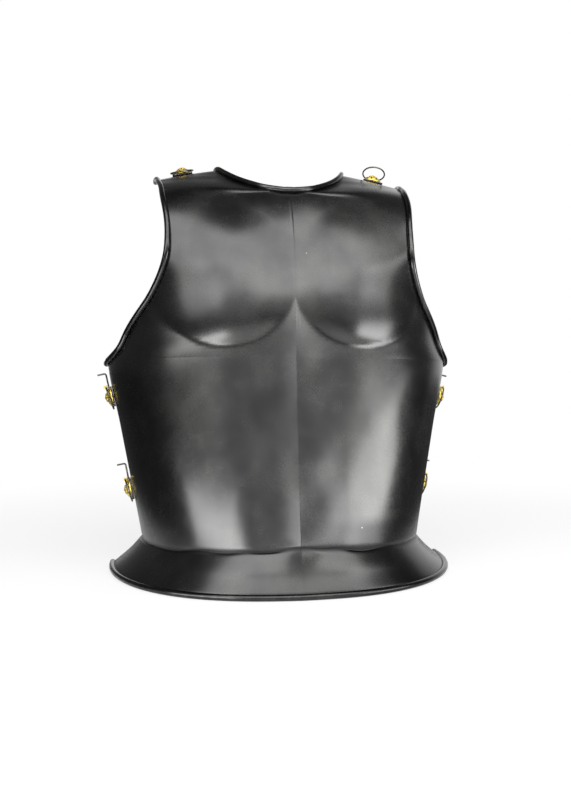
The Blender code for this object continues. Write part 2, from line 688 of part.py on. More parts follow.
def main():
    for thing in list(bpy.data.objects):
        bpy.data.objects.remove(thing)
    collection = bpy.data.collections.new(MODEL_NAME)
    cutters = bpy.data.collections.new("cutters")
    bpy.context.scene.collection.children.link(collection)
    bpy.context.scene.collection.children.link(cutters)

    dark = make_material("blackened_steel", (0.055, 0.055, 0.058), 0.32)
    brass = make_material("brass", (0.78, 0.58, 0.22), 0.24)
    iron = make_material("dark_steel", (0.07, 0.068, 0.065), 0.42)
    wire = make_material("ring_steel", (0.10, 0.095, 0.09), 0.38)

    upper = side_place(UPPER_SIDE_UP)
    lower = side_place(LOWER_SIDE_UP)
    shoulder = shoulder_place()
    stations = (
        ("shoulder_left", shoulder, True, 0.0),
        ("shoulder_right", shoulder, False, RING_RAISED),
        ("side_upper_left", upper, True, 0.0),
        ("side_upper_right", upper, False, 0.0),
        ("side_lower_left", lower, True, 0.0),
        ("side_lower_right", lower, False, 0.0),
    )
    build_sheet(collection, cutters, dark, [(row[1], row[2]) for row in stations])
    for name, place, mirrored, raised in stations:
        on_sheet = frame_matrix(place, mirrored)
        on_leaf = frame_matrix(place, mirrored, 2 * PIECE_GAP + LEAF_THICKNESS)
        shoulder_row = name.startswith("shoulder")
        up = -1 if mirrored else 1
        if shoulder_row:
            up = -1
        eye_way = (1, 0, 0) if shoulder_row else (0, up, 0)
        arm_way = (1, 0, 0) if shoulder_row else (0, 0, 1)
        build_leaf(f"{name}_hinge_leaf", on_sheet, collection, cutters, iron)
        build_pin(f"{name}_hinge_pin", on_sheet, up, arm_way, collection, iron)
        build_rosette(f"{name}_rosette", on_leaf, eye_way, collection, cutters, brass)
        build_ring(f"{name}_ring", on_leaf, eye_way, raised, collection, wire)
    centre_on_ground(collection)


main()
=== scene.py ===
"""Scene of a blackened steel breastplate on a pale studio floor.

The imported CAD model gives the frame. Every piece here is drawn in that frame,
in metres, with +Z up and the wearer's chest towards -Y.
"""

import logging
import math
from collections.abc import Iterable, Sequence
from dataclasses import dataclass, field
from enum import Enum
from typing import Any

import bmesh
import bpy
import numpy as np
from mathutils import Matrix, Vector


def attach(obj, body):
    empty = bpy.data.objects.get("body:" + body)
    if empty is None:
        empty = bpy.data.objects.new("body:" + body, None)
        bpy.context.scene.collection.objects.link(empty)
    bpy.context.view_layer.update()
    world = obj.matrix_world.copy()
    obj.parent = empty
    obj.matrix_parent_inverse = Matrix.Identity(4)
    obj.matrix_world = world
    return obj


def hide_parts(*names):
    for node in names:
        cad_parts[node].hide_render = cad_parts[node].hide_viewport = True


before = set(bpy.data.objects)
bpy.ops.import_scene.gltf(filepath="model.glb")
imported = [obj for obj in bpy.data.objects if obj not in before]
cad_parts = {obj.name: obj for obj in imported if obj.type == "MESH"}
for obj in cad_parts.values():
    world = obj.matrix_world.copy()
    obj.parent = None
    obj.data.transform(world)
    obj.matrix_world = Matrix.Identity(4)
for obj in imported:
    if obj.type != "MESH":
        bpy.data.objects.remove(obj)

LOG = logging.getLogger("steel_breastplate")
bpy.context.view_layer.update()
PLACED_BACK = 0.04963       # the sheet's own origin to the middle of the whole
MERGE = 1e-6                # vertices closer than this become one
UP = Vector((0.0, 0.0, 1.0))
Triple = tuple[float, float, float]
Shape = bmesh.types.BMesh
Array = np.ndarray
Socket = bpy.types.NodeSocket
Span = tuple[float, float]      # where a change starts and where it is full


# Shader work.

class Reading:
    """A number socket that takes part in Python expressions."""

    def __init__(self, bench: "Bench", socket: Socket) -> None:
        """Keeps the socket and the bench that adds its Math nodes."""
        self.bench = bench
        self.socket = socket

    def __add__(self, other: "Reading | float") -> "Reading":
        """Returns self + other."""
        return self.bench.math("ADD", self, other)

    __radd__ = __add__

    def __mul__(self, other: "Reading | float") -> "Reading":
        """Returns self * other."""
        return self.bench.math("MULTIPLY", self, other)

    __rmul__ = __mul__

    def __sub__(self, other: "Reading | float") -> "Reading":
        """Returns self - other."""
        return self.bench.math("SUBTRACT", self, other)

    def __rsub__(self, other: float) -> "Reading":
        """Returns other - self."""
        return self.bench.math("SUBTRACT", other, self)


class Bench:
    """Adds nodes to one node tree."""

    def __init__(self, tree: bpy.types.NodeTree) -> None:
        """Keeps the tree."""
        self.tree = tree

    def node(self, kind: str, settings: dict[str, Any] | None = None,
             values: dict[Any, Any] | None = None) -> bpy.types.Node:
        """Adds one node.

        Args:
            kind: Blender's name of the node type.
            settings: Node properties, set before the sockets.
            values: Socket values, sockets or readings, by name or number.

        Returns:
            The new node.
        """
        made = self.tree.nodes.new(kind)
        for name, value in (settings or {}).items():
            setattr(made, name, value)
        self.fill(made, values or {})
        return made

    def fill(self, node: bpy.types.Node, values: dict[Any, Any]) -> None:
        """Sets or links input sockets of a node.

        Args:
            node: The node.
            values: Values, sockets or readings, by the name or number of the input.
        """
        for name, value in values.items():
            if isinstance(value, Reading):
                value = value.socket
            if isinstance(value, Socket):
                self.tree.links.new(value, node.inputs[name])
            else:
                node.inputs[name].default_value = value

    def math(self, operation: str, *terms: Any, clamp: bool = False) -> Reading:
        """Adds a Math node and returns its reading."""
        made = self.node("ShaderNodeMath", {"operation": operation, "use_clamp": clamp},
                         dict(enumerate(terms)))
        return Reading(self, made.outputs[0])

    def limited(self, value: Any, low: float, high: float) -> Reading:
        """Returns 0 below low, 1 above high and a smooth step between."""
        made = self.node("ShaderNodeMapRange", {"interpolation_type": "SMOOTHSTEP"},
                         {"Value": value, "From Min": low, "From Max": high})
        return Reading(self, made.outputs["Result"])

    def noise(self, place: Any, scale: float, detail: float = 3.0, rough: float = 0.5,
              twist: float = 0.0) -> Reading:
        """Returns the value of a noise texture at a place."""
        made = self.node("ShaderNodeTexNoise", {"noise_dimensions": "3D"},
                         {"Vector": place, "Scale": scale, "Detail": detail,
                          "Roughness": rough, "Distortion": twist})
        return Reading(self, made.outputs["Fac"])

    def mixed(self, share: Any, first: Any, second: Any) -> Socket:
        """Returns two colours mixed by a share."""
        return self.node("ShaderNodeMix", {"data_type": "RGBA", "blend_type": "MIX"},
                         {0: share, 6: first, 7: second}).outputs[2]

    def place(self) -> Socket:
        """Returns Object coordinates."""
        return self.node("ShaderNodeTexCoord").outputs["Object"]

    def stretched(self, scale: Triple, turn: Triple) -> Socket:
        """Returns Object coordinates scaled and turned by a Mapping node."""
        return self.node("ShaderNodeMapping", {}, {
            "Vector": self.place(), "Scale": scale, "Rotation": turn}).outputs[0]

    def axes(self, place: Socket) -> list[Reading]:
        """Returns the X, Y and Z of a place."""
        parts = self.node("ShaderNodeSeparateXYZ", {}, {"Vector": place})
        return [Reading(self, socket) for socket in parts.outputs]

    def painted(self, name: str) -> Reading:
        """Returns a number that a piece carries in an attribute."""
        made = self.node("ShaderNodeAttribute",
                         {"attribute_name": name, "attribute_type": "GEOMETRY"})
        return Reading(self, made.outputs["Fac"])

    def camera_ray(self) -> Reading:
        """Returns 1 on rays from the camera and 0 on all others."""
        return Reading(self, self.node("ShaderNodeLightPath").outputs["Is Camera Ray"])

    def bumped(self, height: Reading, strength: float = 1.0) -> Socket:
        """Returns the normal of a surface with a height in metres."""
        return self.node("ShaderNodeBump", {}, {
            "Strength": strength, "Distance": 1.0, "Height": height}).outputs[0]


def rgba(colour: Triple) -> tuple[float, float, float, float]:
    """Returns a colour with full alpha."""
    return (*colour, 1.0)


@dataclass(frozen=True)
class Finish:
    """A surface finish that makes its own material."""

    name: str = "finish"
    slot: str = "blackened_steel"

    def material(self) -> bpy.types.Material:
        """Makes the material on its first use.

        Returns:
            The finish's material.
        """
        known = bpy.data.materials.get(self.name)
        if known is not None:
            return known
        made = bpy.data.materials.new(self.name)
        made.use_nodes = True
        bench = Bench(made.node_tree)
        bench.fill(made.node_tree.nodes["Principled BSDF"], self.dress(bench))
        return made

    def dress(self, bench: Bench) -> dict[str, Any]:
        """Adds the look's nodes.

        Args:
            bench: Adds them to the material.

        Returns:
            What goes into the Principled node's sockets.
        """
        raise NotImplementedError


@dataclass(frozen=True)
class BlackenedSteel(Finish):
    """Steel sheet with a dark oiled oxide, smudged and slightly uneven."""

    name: str = "blackened_steel_finish"
    slot: str = "blackened_steel"
    dark: Triple = (0.058, 0.058, 0.060)
    pale: Triple = (0.104, 0.104, 0.100)
    # near-black colour toward which the painted shade on the rolled edges, flange and waist
    # crease, and the darkening just above the rim, are mixed
    painted_shade: Triple = (0.016, 0.016, 0.017)
    fleck: Triple = (0.30, 0.29, 0.27)
    roughness: float = 0.265
    cloud_scale: float = 7.5
    smudge_scale: float = 34.0
    grain_scale: float = 900.0
    # size of the patches in the painted shade on the rolled edges
    bead_shade_scale: float = 95.0
    fleck_scale: float = 75.0
    dent_scale: float = 15.0
    pit_scale: float = 46.0
    dent_depth: float = 0.00024
    pit_depth: float = 0.00006
    grain_depth: float = 0.0000025
    line_depth: float = 0.0000020
    flange_top: Span = (0.060, 0.076)   # heights between which the painted shade on the flange ends
    rim_top: Span = (0.008, 0.026)      # the same for the darkening just above the rim

    def dress(self, bench: Bench) -> dict[str, Any]:
        """Mottles the oxide, dents the sheet slightly, paints shade on its rolled edges,
        flange and waist crease, and darkens it just above the rim.
        """
        place = bench.place()
        painted_shade = rgba(self.painted_shade)
        cloud = bench.noise(place, self.cloud_scale, 3.0, 0.55, 0.4)
        smudge = bench.noise(place, self.smudge_scale, 4.0, 0.55, 0.2)
        grain = bench.noise(place, self.grain_scale, 2.0, 0.6)
        wiped = bench.noise(bench.stretched((30.0, 30.0, 8.0), (0.0, 0.5, 0.3)), 1.0, 2.0)
        tone = 0.50 * cloud + 0.25 * smudge + 0.25 * wiped
        shade = bench.mixed(bench.limited(tone, 0.30, 0.72), rgba(self.dark), rgba(self.pale))

        bead, crease = bench.painted("bead"), bench.painted("crease")
        # painted shade on the rolled edges: they are darkened toward near-black, more in some
        # noisy patches than in others
        patches = bench.noise(place, self.bead_shade_scale, 3.0, 0.6)
        bead_shade = 0.4 - 0.35 * bench.limited(patches, 0.35, 0.7)
        shade = bench.mixed(bead * bead_shade, shade, painted_shade)
        across, _, up = bench.axes(place)
        # painted shade on the flange: slight from its left part to the middle, strong on its
        # right
        on_flange = 1.0 - bench.limited(up, *self.flange_top)
        flange_shade = on_flange * (0.12 * bench.limited(across, -0.09, 0.0)
                            + 0.42 * bench.limited(across, 0.03, 0.08))
        # darker towards the rim, fading out above it
        low = 1.0 - bench.limited(up, *self.rim_top)
        shade = bench.mixed(flange_shade + 0.16 * low, shade, painted_shade)
        # painted shade in the hammered waist crease
        shade = bench.mixed(crease * 0.9, shade, painted_shade)

        cells = bench.node("ShaderNodeTexVoronoi", {"feature": "F1"},
                           {"Vector": place, "Scale": self.fleck_scale, "Randomness": 1.0})
        chosen = bench.node("ShaderNodeSeparateColor", {}, {"Color": cells.outputs["Color"]})
        rare = bench.limited(chosen.outputs[0], 0.965, 0.97)
        dot = 1.0 - bench.limited(cells.outputs["Distance"], 0.035, 0.075)
        shade = bench.mixed(rare * dot * 0.55, shade, rgba(self.fleck))

        rough = (self.roughness + 0.10 * (smudge - 0.5) + 0.07 * (cloud - 0.5)
                 + 0.05 * (grain - 0.5))
        dents = bench.noise(place, self.dent_scale, 1.0, 0.45)
        pits = bench.noise(place, self.pit_scale, 2.0)
        lines = bench.noise(bench.stretched((1500.0, 1500.0, 40.0), (0.2, 0.9, 0.4)), 1.0, 1.0)
        height = (self.dent_depth * dents + self.pit_depth * pits
                  + self.grain_depth * grain + self.line_depth * lines)
        return {"Base Color": shade, "Metallic": 1.0, "Normal": bench.bumped(height),
                "Roughness": rough + 0.12 * crease - 0.03 * bead}


@dataclass(frozen=True)
class CastBrass(Finish):
    """Polished cast brass that is dark in its hollows."""

    name: str = "cast_brass_finish"
    slot: str = "brass"
    bright: Triple = (1.0, 0.80, 0.20)
    mellow: Triple = (0.90, 0.66, 0.13)
    tarnish: Triple = (0.085, 0.050, 0.012)
    roughness: float = 0.36
    cloud_scale: float = 240.0
    pit_scale: float = 1100.0
    cloud_depth: float = 0.00006
    pit_depth: float = 0.00001

    def dress(self, bench: Bench) -> dict[str, Any]:
        """Darkens the hollows and gives the cast skin fine pits."""
        place = bench.place()
        cloud = bench.noise(place, self.cloud_scale, 3.0, 0.6)
        pits = bench.noise(place, self.pit_scale, 2.0)
        shade = bench.mixed(bench.limited(cloud, 0.35, 0.65), rgba(self.mellow),
                            rgba(self.bright))
        hollow = bench.math("ADD", bench.painted("hollow"), 0.35 * (cloud - 0.5), clamp=True)
        shade = bench.mixed(bench.limited(hollow, 0.30, 0.85), shade, rgba(self.tarnish))
        height = self.cloud_depth * cloud + self.pit_depth * pits
        return {"Base Color": shade, "Metallic": 1.0, "Normal": bench.bumped(height, 0.6),
                "Roughness": self.roughness + 0.12 * cloud + 0.20 * hollow}


@dataclass(frozen=True)
class BareIron(Finish):
    """Dull dark iron of the fittings, slightly rusted in spots."""

    name: str = "bare_iron_finish"
    slot: str = "dark_steel"
    dark: Triple = (0.050, 0.047, 0.044)
    pale: Triple = (0.150, 0.142, 0.132)
    rust: Triple = (0.070, 0.034, 0.018)
    roughness: float = 0.36
    patch_scale: float = 210.0
    spot_scale: float = 520.0
    patch_depth: float = 0.00008
    spot_depth: float = 0.00003

    def dress(self, bench: Bench) -> dict[str, Any]:
        """Mixes dark and pale patches with a little rust."""
        place = bench.place()
        patch = bench.noise(place, self.patch_scale, 4.0, 0.6, 0.4)
        spots = bench.noise(place, self.spot_scale, 3.0, 0.6)
        rusted = bench.limited(spots, 0.60, 0.72)
        shade = bench.mixed(bench.limited(patch, 0.36, 0.64), rgba(self.dark), rgba(self.pale))
        shade = bench.mixed(rusted * 0.5, shade, rgba(self.rust))
        height = self.patch_depth * patch + self.spot_depth * spots
        return {"Base Color": shade, "Metallic": 1.0 - 0.6 * rusted,
                "Normal": bench.bumped(height, 0.5),
                "Roughness": self.roughness + 0.16 * (patch - 0.5) + 0.2 * rusted}


STEEL = BlackenedSteel()
BRASS = CastBrass()
IRON = BareIron()
WIRE = BareIron(name="ring_wire_finish", slot="ring_steel", dark=(0.075, 0.070, 0.064),
                pale=(0.230, 0.215, 0.195), roughness=0.30)


# Mesh work.

def linked(name: str, data: Any) -> bpy.types.Object:
    """Returns a new object in the scene that holds some data."""
    thing = bpy.data.objects.new(name, data)
    bpy.context.scene.collection.objects.link(thing)
    return thing


def smoothed(data: bpy.types.Mesh, sharp: float) -> None:
    """Shades a mesh smooth, with the edges past an angle in degrees sharp."""
    data.shade_smooth()
    data.set_sharp_from_angle(angle=math.radians(sharp))


def show(name: str, work: Shape, finish: Finish,
         sharp: float = 35.0) -> bpy.types.Object:
    """Turns a bmesh into a finished object at the origin.

    Args:
        name: The piece's name.
        work: The shape, which is freed.
        finish: The finish of the whole piece.
        sharp: The angle in degrees past which an edge is shaded sharp.

    Returns:
        The new object.
    """
    data = bpy.data.meshes.new(name)
    work.to_mesh(data)
    work.free()
    data.materials.append(finish.material())
    smoothed(data, sharp)
    return linked(name, data)


def settle(piece: bpy.types.Object, body: str, node: str) -> None:
    """Puts a piece on its body, in its node's place, and hides the node.

    Args:
        piece: The finished piece.
        body: The body that carries it.
        node: The CAD node that it stands for.
    """
    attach(piece, body)
    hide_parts(node)
    LOG.info("%s rides on %s and stands for %s", piece.name, body, node)


def turned(profile: Iterable[tuple[float, float]], steps: int,
           closed: bool = False) -> Shape:
    """Spins a profile of radius and height pairs round Z.

    Args:
        profile: The points, from the middle outwards or round a section.
        steps: How many faces go round.
        closed: Whether the last point joins the first.

    Returns:
        The shape, with its doubles merged and its faces pointing out.
    """
    work = bmesh.new()
    corners = [work.verts.new((radius, 0.0, height)) for radius, height in profile]
    pairs = list(zip(corners, corners[1:]))
    if closed:
        pairs.append((corners[-1], corners[0]))
    edges = [work.edges.new(pair) for pair in pairs]
    bmesh.ops.spin(work, geom=corners + edges, cent=(0, 0, 0), axis=(0, 0, 1),
                   angle=math.tau, steps=steps, use_merge=True)
    bmesh.ops.remove_doubles(work, verts=work.verts, dist=MERGE)
    bmesh.ops.recalc_face_normals(work, faces=work.faces)
    return work


def rounded_section(inner: float, outer: float, half: float,
                    corner: float) -> list[tuple[float, float]]:
    """Draws a rounded box section for a turned sleeve.

    Args:
        inner: The sleeve's inner radius.
        outer: Its outer radius.
        half: Half its length.
        corner: The radius of the section's corners.

    Returns:
        The radius and height of each point.
    """
    points, steps = [], 3
    for radius, height, first in ((outer, half, 0.0), (inner, half, 90.0),
                                  (inner, -half, 180.0), (outer, -half, 270.0)):
        centre = (radius + (corner if radius == inner else -corner),
                  height + (-corner if height > 0 else corner))
        for step in range(steps + 1):
            angle = math.radians(first + 90.0 / steps * step)
            points.append((centre[0] + corner * math.cos(angle),
                           centre[1] + corner * math.sin(angle)))
    return points


def bevelled(work: Shape, edges: list[bmesh.types.BMEdge], offset: float,
             segments: int = 2) -> None:
    """Rounds edges of a shape by an offset in metres."""
    bmesh.ops.bevel(work, geom=edges, offset=offset, segments=segments, profile=0.5,
                    affect="EDGES", material=-1)


def faces_in(parts: Iterable[Any]) -> list[bmesh.types.BMFace]:
    """Returns the faces among the parts that an operator made."""
    return [part for part in parts if isinstance(part, bmesh.types.BMFace)]


def take_in(work: Shape, other: Shape, matrix: Matrix) -> None:
    """Adds another shape to a bmesh.

    Args:
        work: The bmesh that grows.
        other: The shape, which is freed.
        matrix: Where the shape goes.
    """
    bmesh.ops.transform(other, matrix=matrix, verts=other.verts)
    spare = bpy.data.meshes.new("spare")
    other.to_mesh(spare)
    other.free()
    work.from_mesh(spare)
    bpy.data.meshes.remove(spare)


def frame_of(across: Vector, along: Vector, out: Vector, spot: Vector = Vector()) -> Matrix:
    """Returns the matrix of a frame from its three directions and its place."""
    turn = Matrix((across, along, out)).transposed().to_4x4()
    turn.translation = spot
    return turn


# The sheet.

COLUMNS = ("in_across", "in_front", "in_up", "out_across", "out_front", "out_up",
           "turn", "ridge", "spread")
SECTIONS: dict[str, tuple[float, ...]] = {
    "rim":     (0.000, -0.985, 0.008, 0.970,  0.93, 0.008, 90, 0.10, 0.80),
    "flange":  (0.000, -0.935, 0.050, 0.878,  0.92, 0.040, 90, 0.15, 0.80),
    "waist":   (0.000, -0.905, 0.097, 0.806,  0.92, 0.074, 90, 0.85, 0.90),
    "low":     (0.000, -0.850, 0.210, 0.868,  0.92, 0.206, 90, 1.00, 1.00),
    "belly":   (0.000, -0.782, 0.350, 0.936,  0.92, 0.350, 90, 1.00, 1.00),
    "corner":  (0.000, -0.732, 0.500, 1.010,  0.93, 0.502, 90, 0.80, 0.90),
    "arm":     (0.000, -0.730, 0.507, 0.986,  0.05, 0.506, 77, 0.78, 0.88),
    "arm_low": (0.000, -0.705, 0.590, 0.868, -0.21, 0.572, 63, 0.45, 0.60),
    "arm_in":  (0.000, -0.677, 0.660, 0.736, -0.40, 0.652, 49, 0.22, 0.45),
    "arm_mid": (0.000, -0.636, 0.735, 0.662, -0.51, 0.727, 46, 0.10, 0.35),
    "arm_up":  (0.000, -0.566, 0.802, 0.653, -0.52, 0.784, 42, 0.06, 0.30),
    "throat":  (0.000, -0.474, 0.858, 0.663, -0.46, 0.836, 40, 0.04, 0.25),
    "neck":    (0.000, -0.385, 0.901, 0.677, -0.36, 0.879, 38, 0.03, 0.25),
    "neck_2":  (0.118, -0.355, 0.907, 0.690, -0.27, 0.905, 34, 0.00, 0.25),
    "neck_3":  (0.207, -0.270, 0.924, 0.704, -0.17, 0.925, 30, 0.00, 0.25),
    "neck_4":  (0.281, -0.165, 0.945, 0.715, -0.06, 0.942, 26, 0.00, 0.25),
    "neck_5":  (0.337, -0.050, 0.969, 0.724,  0.14, 0.956, 22, 0.00, 0.25),
    "strap":   (0.370,  0.250, 0.990, 0.732,  0.50, 0.965, 18, 0.00, 0.25),
    "end":     (0.385,  0.980, 1.000, 0.740,  1.00, 0.969, 14, 0.00, 0.25),
}
ROW_OF = {name: place for place, name in enumerate(SECTIONS)}


def unit(vectors: Array) -> Array:
    """Returns vectors of length one."""
    return vectors / np.linalg.norm(vectors, axis=-1, keepdims=True)


def smooth(values: Sequence[float], run: Array, at: Array,
           breaks: Sequence[str]) -> Array:
    """Reads smooth curves through the sections' values, with corners at breaks.

    Args:
        values: One value for each section.
        run: How far along the ridge and neck edge each section lies.
        at: Row values to read at.
        breaks: Names of the sections where the curve has a corner.

    Returns:
        The values at the rows.
    """
    values = np.asarray(values, float)
    place = np.interp(at, np.arange(len(run)), run)
    result = np.empty(place.shape)
    cuts = [0] + sorted(ROW_OF[name] for name in breaks) + [len(values) - 1]
    for first, last in zip(cuts, cuts[1:]):
        part, knots = values[first:last + 1], run[first:last + 1]
        width = np.diff(knots)
        rate = np.diff(part) / width
        slope = np.empty(len(part))
        slope[0], slope[-1] = rate[0], rate[-1]
        if len(part) > 2:
            slope[1:-1] = ((rate[:-1] * width[1:] + rate[1:] * width[:-1])
                           / (width[:-1] + width[1:]))
            slope[0] = 1.5 * rate[0] - 0.5 * slope[1]
            slope[-1] = 1.5 * rate[-1] - 0.5 * slope[-2]
            least = np.minimum(np.abs(rate[:-1]), np.abs(rate[1:])) * 3.0
            even = rate[:-1] * rate[1:] > 0.0
            slope[1:-1] = np.where(even, np.clip(slope[1:-1], -least, least), 0.0)
        inside = (place >= knots[0]) & (place <= knots[-1])
        low = np.searchsorted(knots, place[inside], side="right") - 1
        low = np.clip(low, 0, len(part) - 2)
        t = (place[inside] - knots[low]) / width[low]
        result[inside] = ((2 * t ** 3 - 3 * t ** 2 + 1) * part[low]
                          + (t ** 3 - 2 * t ** 2 + t) * slope[low] * width[low]
                          + (3 * t ** 2 - 2 * t ** 3) * part[low + 1]
                          + (t ** 3 - t ** 2) * slope[low + 1] * width[low])
    return result


def bell(distance: Array, width: float) -> Array:
    """Returns a smooth bump of height one and a given width."""
    return np.exp(-(np.asarray(distance, float) / width) ** 2)


def eased(value: Array, low: float, high: float) -> Array:
    """Returns a smooth step from 0 at low to 1 at high."""
    t = np.clip((np.asarray(value, float) - low) / (high - low), 0.0, 1.0)
    return t * t * (3.0 - 2.0 * t)


def squared(side: Array, along: Array) -> Array:
    """Returns directions turned to stand square to others, of length one."""
    along = unit(along)
    return unit(side - along * np.sum(side * along, -1, keepdims=True))


def lengths(path: Array) -> Array:
    """Returns how far along a path of points each of them lies."""
    return np.concatenate([[0.0], np.cumsum(np.linalg.norm(np.diff(path, axis=0), axis=1))])


def read_along(path: Array, values: Array, reach: float) -> float:
    """Returns the value at a length along a path of points."""
    return float(np.interp(reach, lengths(path), values))


@dataclass(frozen=True)
class SheetForm:
    """The outer face of the sheet, as the CAD model has it."""

    half_width: float = 0.203
    front_reach: float = 0.150
    back_reach: float = 0.040
    height: float = 0.474
    thickness: float = 0.0013
    roll_radius: float = 0.0019
    ridge_height: float = 0.008
    ridge_half_width: float = 0.050
    chest_out: float = 0.075
    chest_up: float = 0.316
    chest_half_width: float = 0.077
    chest_drop: float = 0.065
    chest_rise: float = 0.098
    chest_height: float = 0.0095
    chest_fullness: float = 0.6
    roundness: float = 1.15

    def forward(self, shares: Sequence[float]) -> Array:
        """Turns front shares into Y, with forward negative."""
        shares = np.asarray(shares, float)
        return np.where(shares < 0.0, shares * self.front_reach, shares * self.back_reach)

    def chest(self, across: Array, up: Array) -> Array:
        """Shapes the chest domes.

        Args:
            across: How far points lie across from the ridge.
            up: How high they lie.

        Returns:
            How far the domes stand out there.
        """
        side = (across - self.chest_out) / self.chest_half_width
        above = np.clip((up - self.chest_up) / self.chest_rise, 0.0, None)
        below = np.clip((self.chest_up - up) / self.chest_drop, 0.0, None)
        inside = np.clip(1.0 - side ** 2 - above ** 2 - below ** 2, 0.0, 1.0)
        full = 1.0 + self.chest_fullness * np.clip(below, 0.0, 1.0) ** 2
        return self.chest_height * full * inside ** (1.0 + np.clip(above, 0.0, 1.0))

    def whole(self, table: dict[str, Array]) -> tuple[Array, ...]:
        """Finds how far the sections would reach over a whole quarter turn.

        Args:
            table: The sections' values by column.

        Returns:
            Each section's reach across, back and up.
        """
        turn = np.radians(table["turn"])
        back = (self.forward(table["out_front"]) - self.forward(table["in_front"])
                - self.ridge_height * table["ridge"])
        return (self.half_width * (table["out_across"] - table["in_across"]) / np.sin(turn),
                back / (1.0 - np.cos(turn)) ** self.roundness,
                self.height * (table["out_up"] - table["in_up"]) / np.sin(turn))

    def run_of_rows(self, table: dict[str, Array]) -> Array:
        """Measures along the ridge and neck edge.

        Args:
            table: The sections' values by column.

        Returns:
            How far along each section lies.
        """
        return lengths(np.stack([self.half_width * table["in_across"],
                                 self.forward(table["in_front"]),
                                 self.height * table["in_up"]], axis=-1))

    def point(self, row: Any, share: Any) -> Array:
        """Returns points of the +X half of the face.

        Args:
            row: Places along the sections.
            share: 0 at the ridge or neck edge and 1 at the side or armhole.

        Returns:
            The points, in the sheet's own frame.
        """
        row, share = np.broadcast_arrays(np.asarray(row, float), np.asarray(share, float))
        table = dict(zip(COLUMNS, np.array(list(SECTIONS.values())).T))
        run = self.run_of_rows(table)

        def read(values: Sequence[float], *breaks: str) -> Array:
            """Reads one curve at the rows."""
            return smooth(values, run, row, breaks)

        turn = np.radians(read(table["turn"], "corner"))
        in_x = self.half_width * read(table["in_across"], "waist", "neck")
        in_y = read(self.forward(table["in_front"]), "waist", "neck")
        in_z = self.height * read(table["in_up"], "waist", "neck")
        across, back, up = (read(part, "waist") for part in self.whole(table))
        ridge = self.ridge_height * read(table["ridge"], "waist")
        spread = self.ridge_half_width * read(table["spread"], "waist")
        x = in_x + across * np.sin(turn * share)
        z = in_z + up * np.sin(turn * share)
        near = np.clip(1.0 - (x - in_x) / spread, 0.0, 1.0) ** 2
        y = (in_y + ridge * (1.0 - near)
             + back * (1.0 - np.cos(turn * share)) ** self.roundness)
        return np.stack([x, y - self.chest(x, z), z], axis=-1)


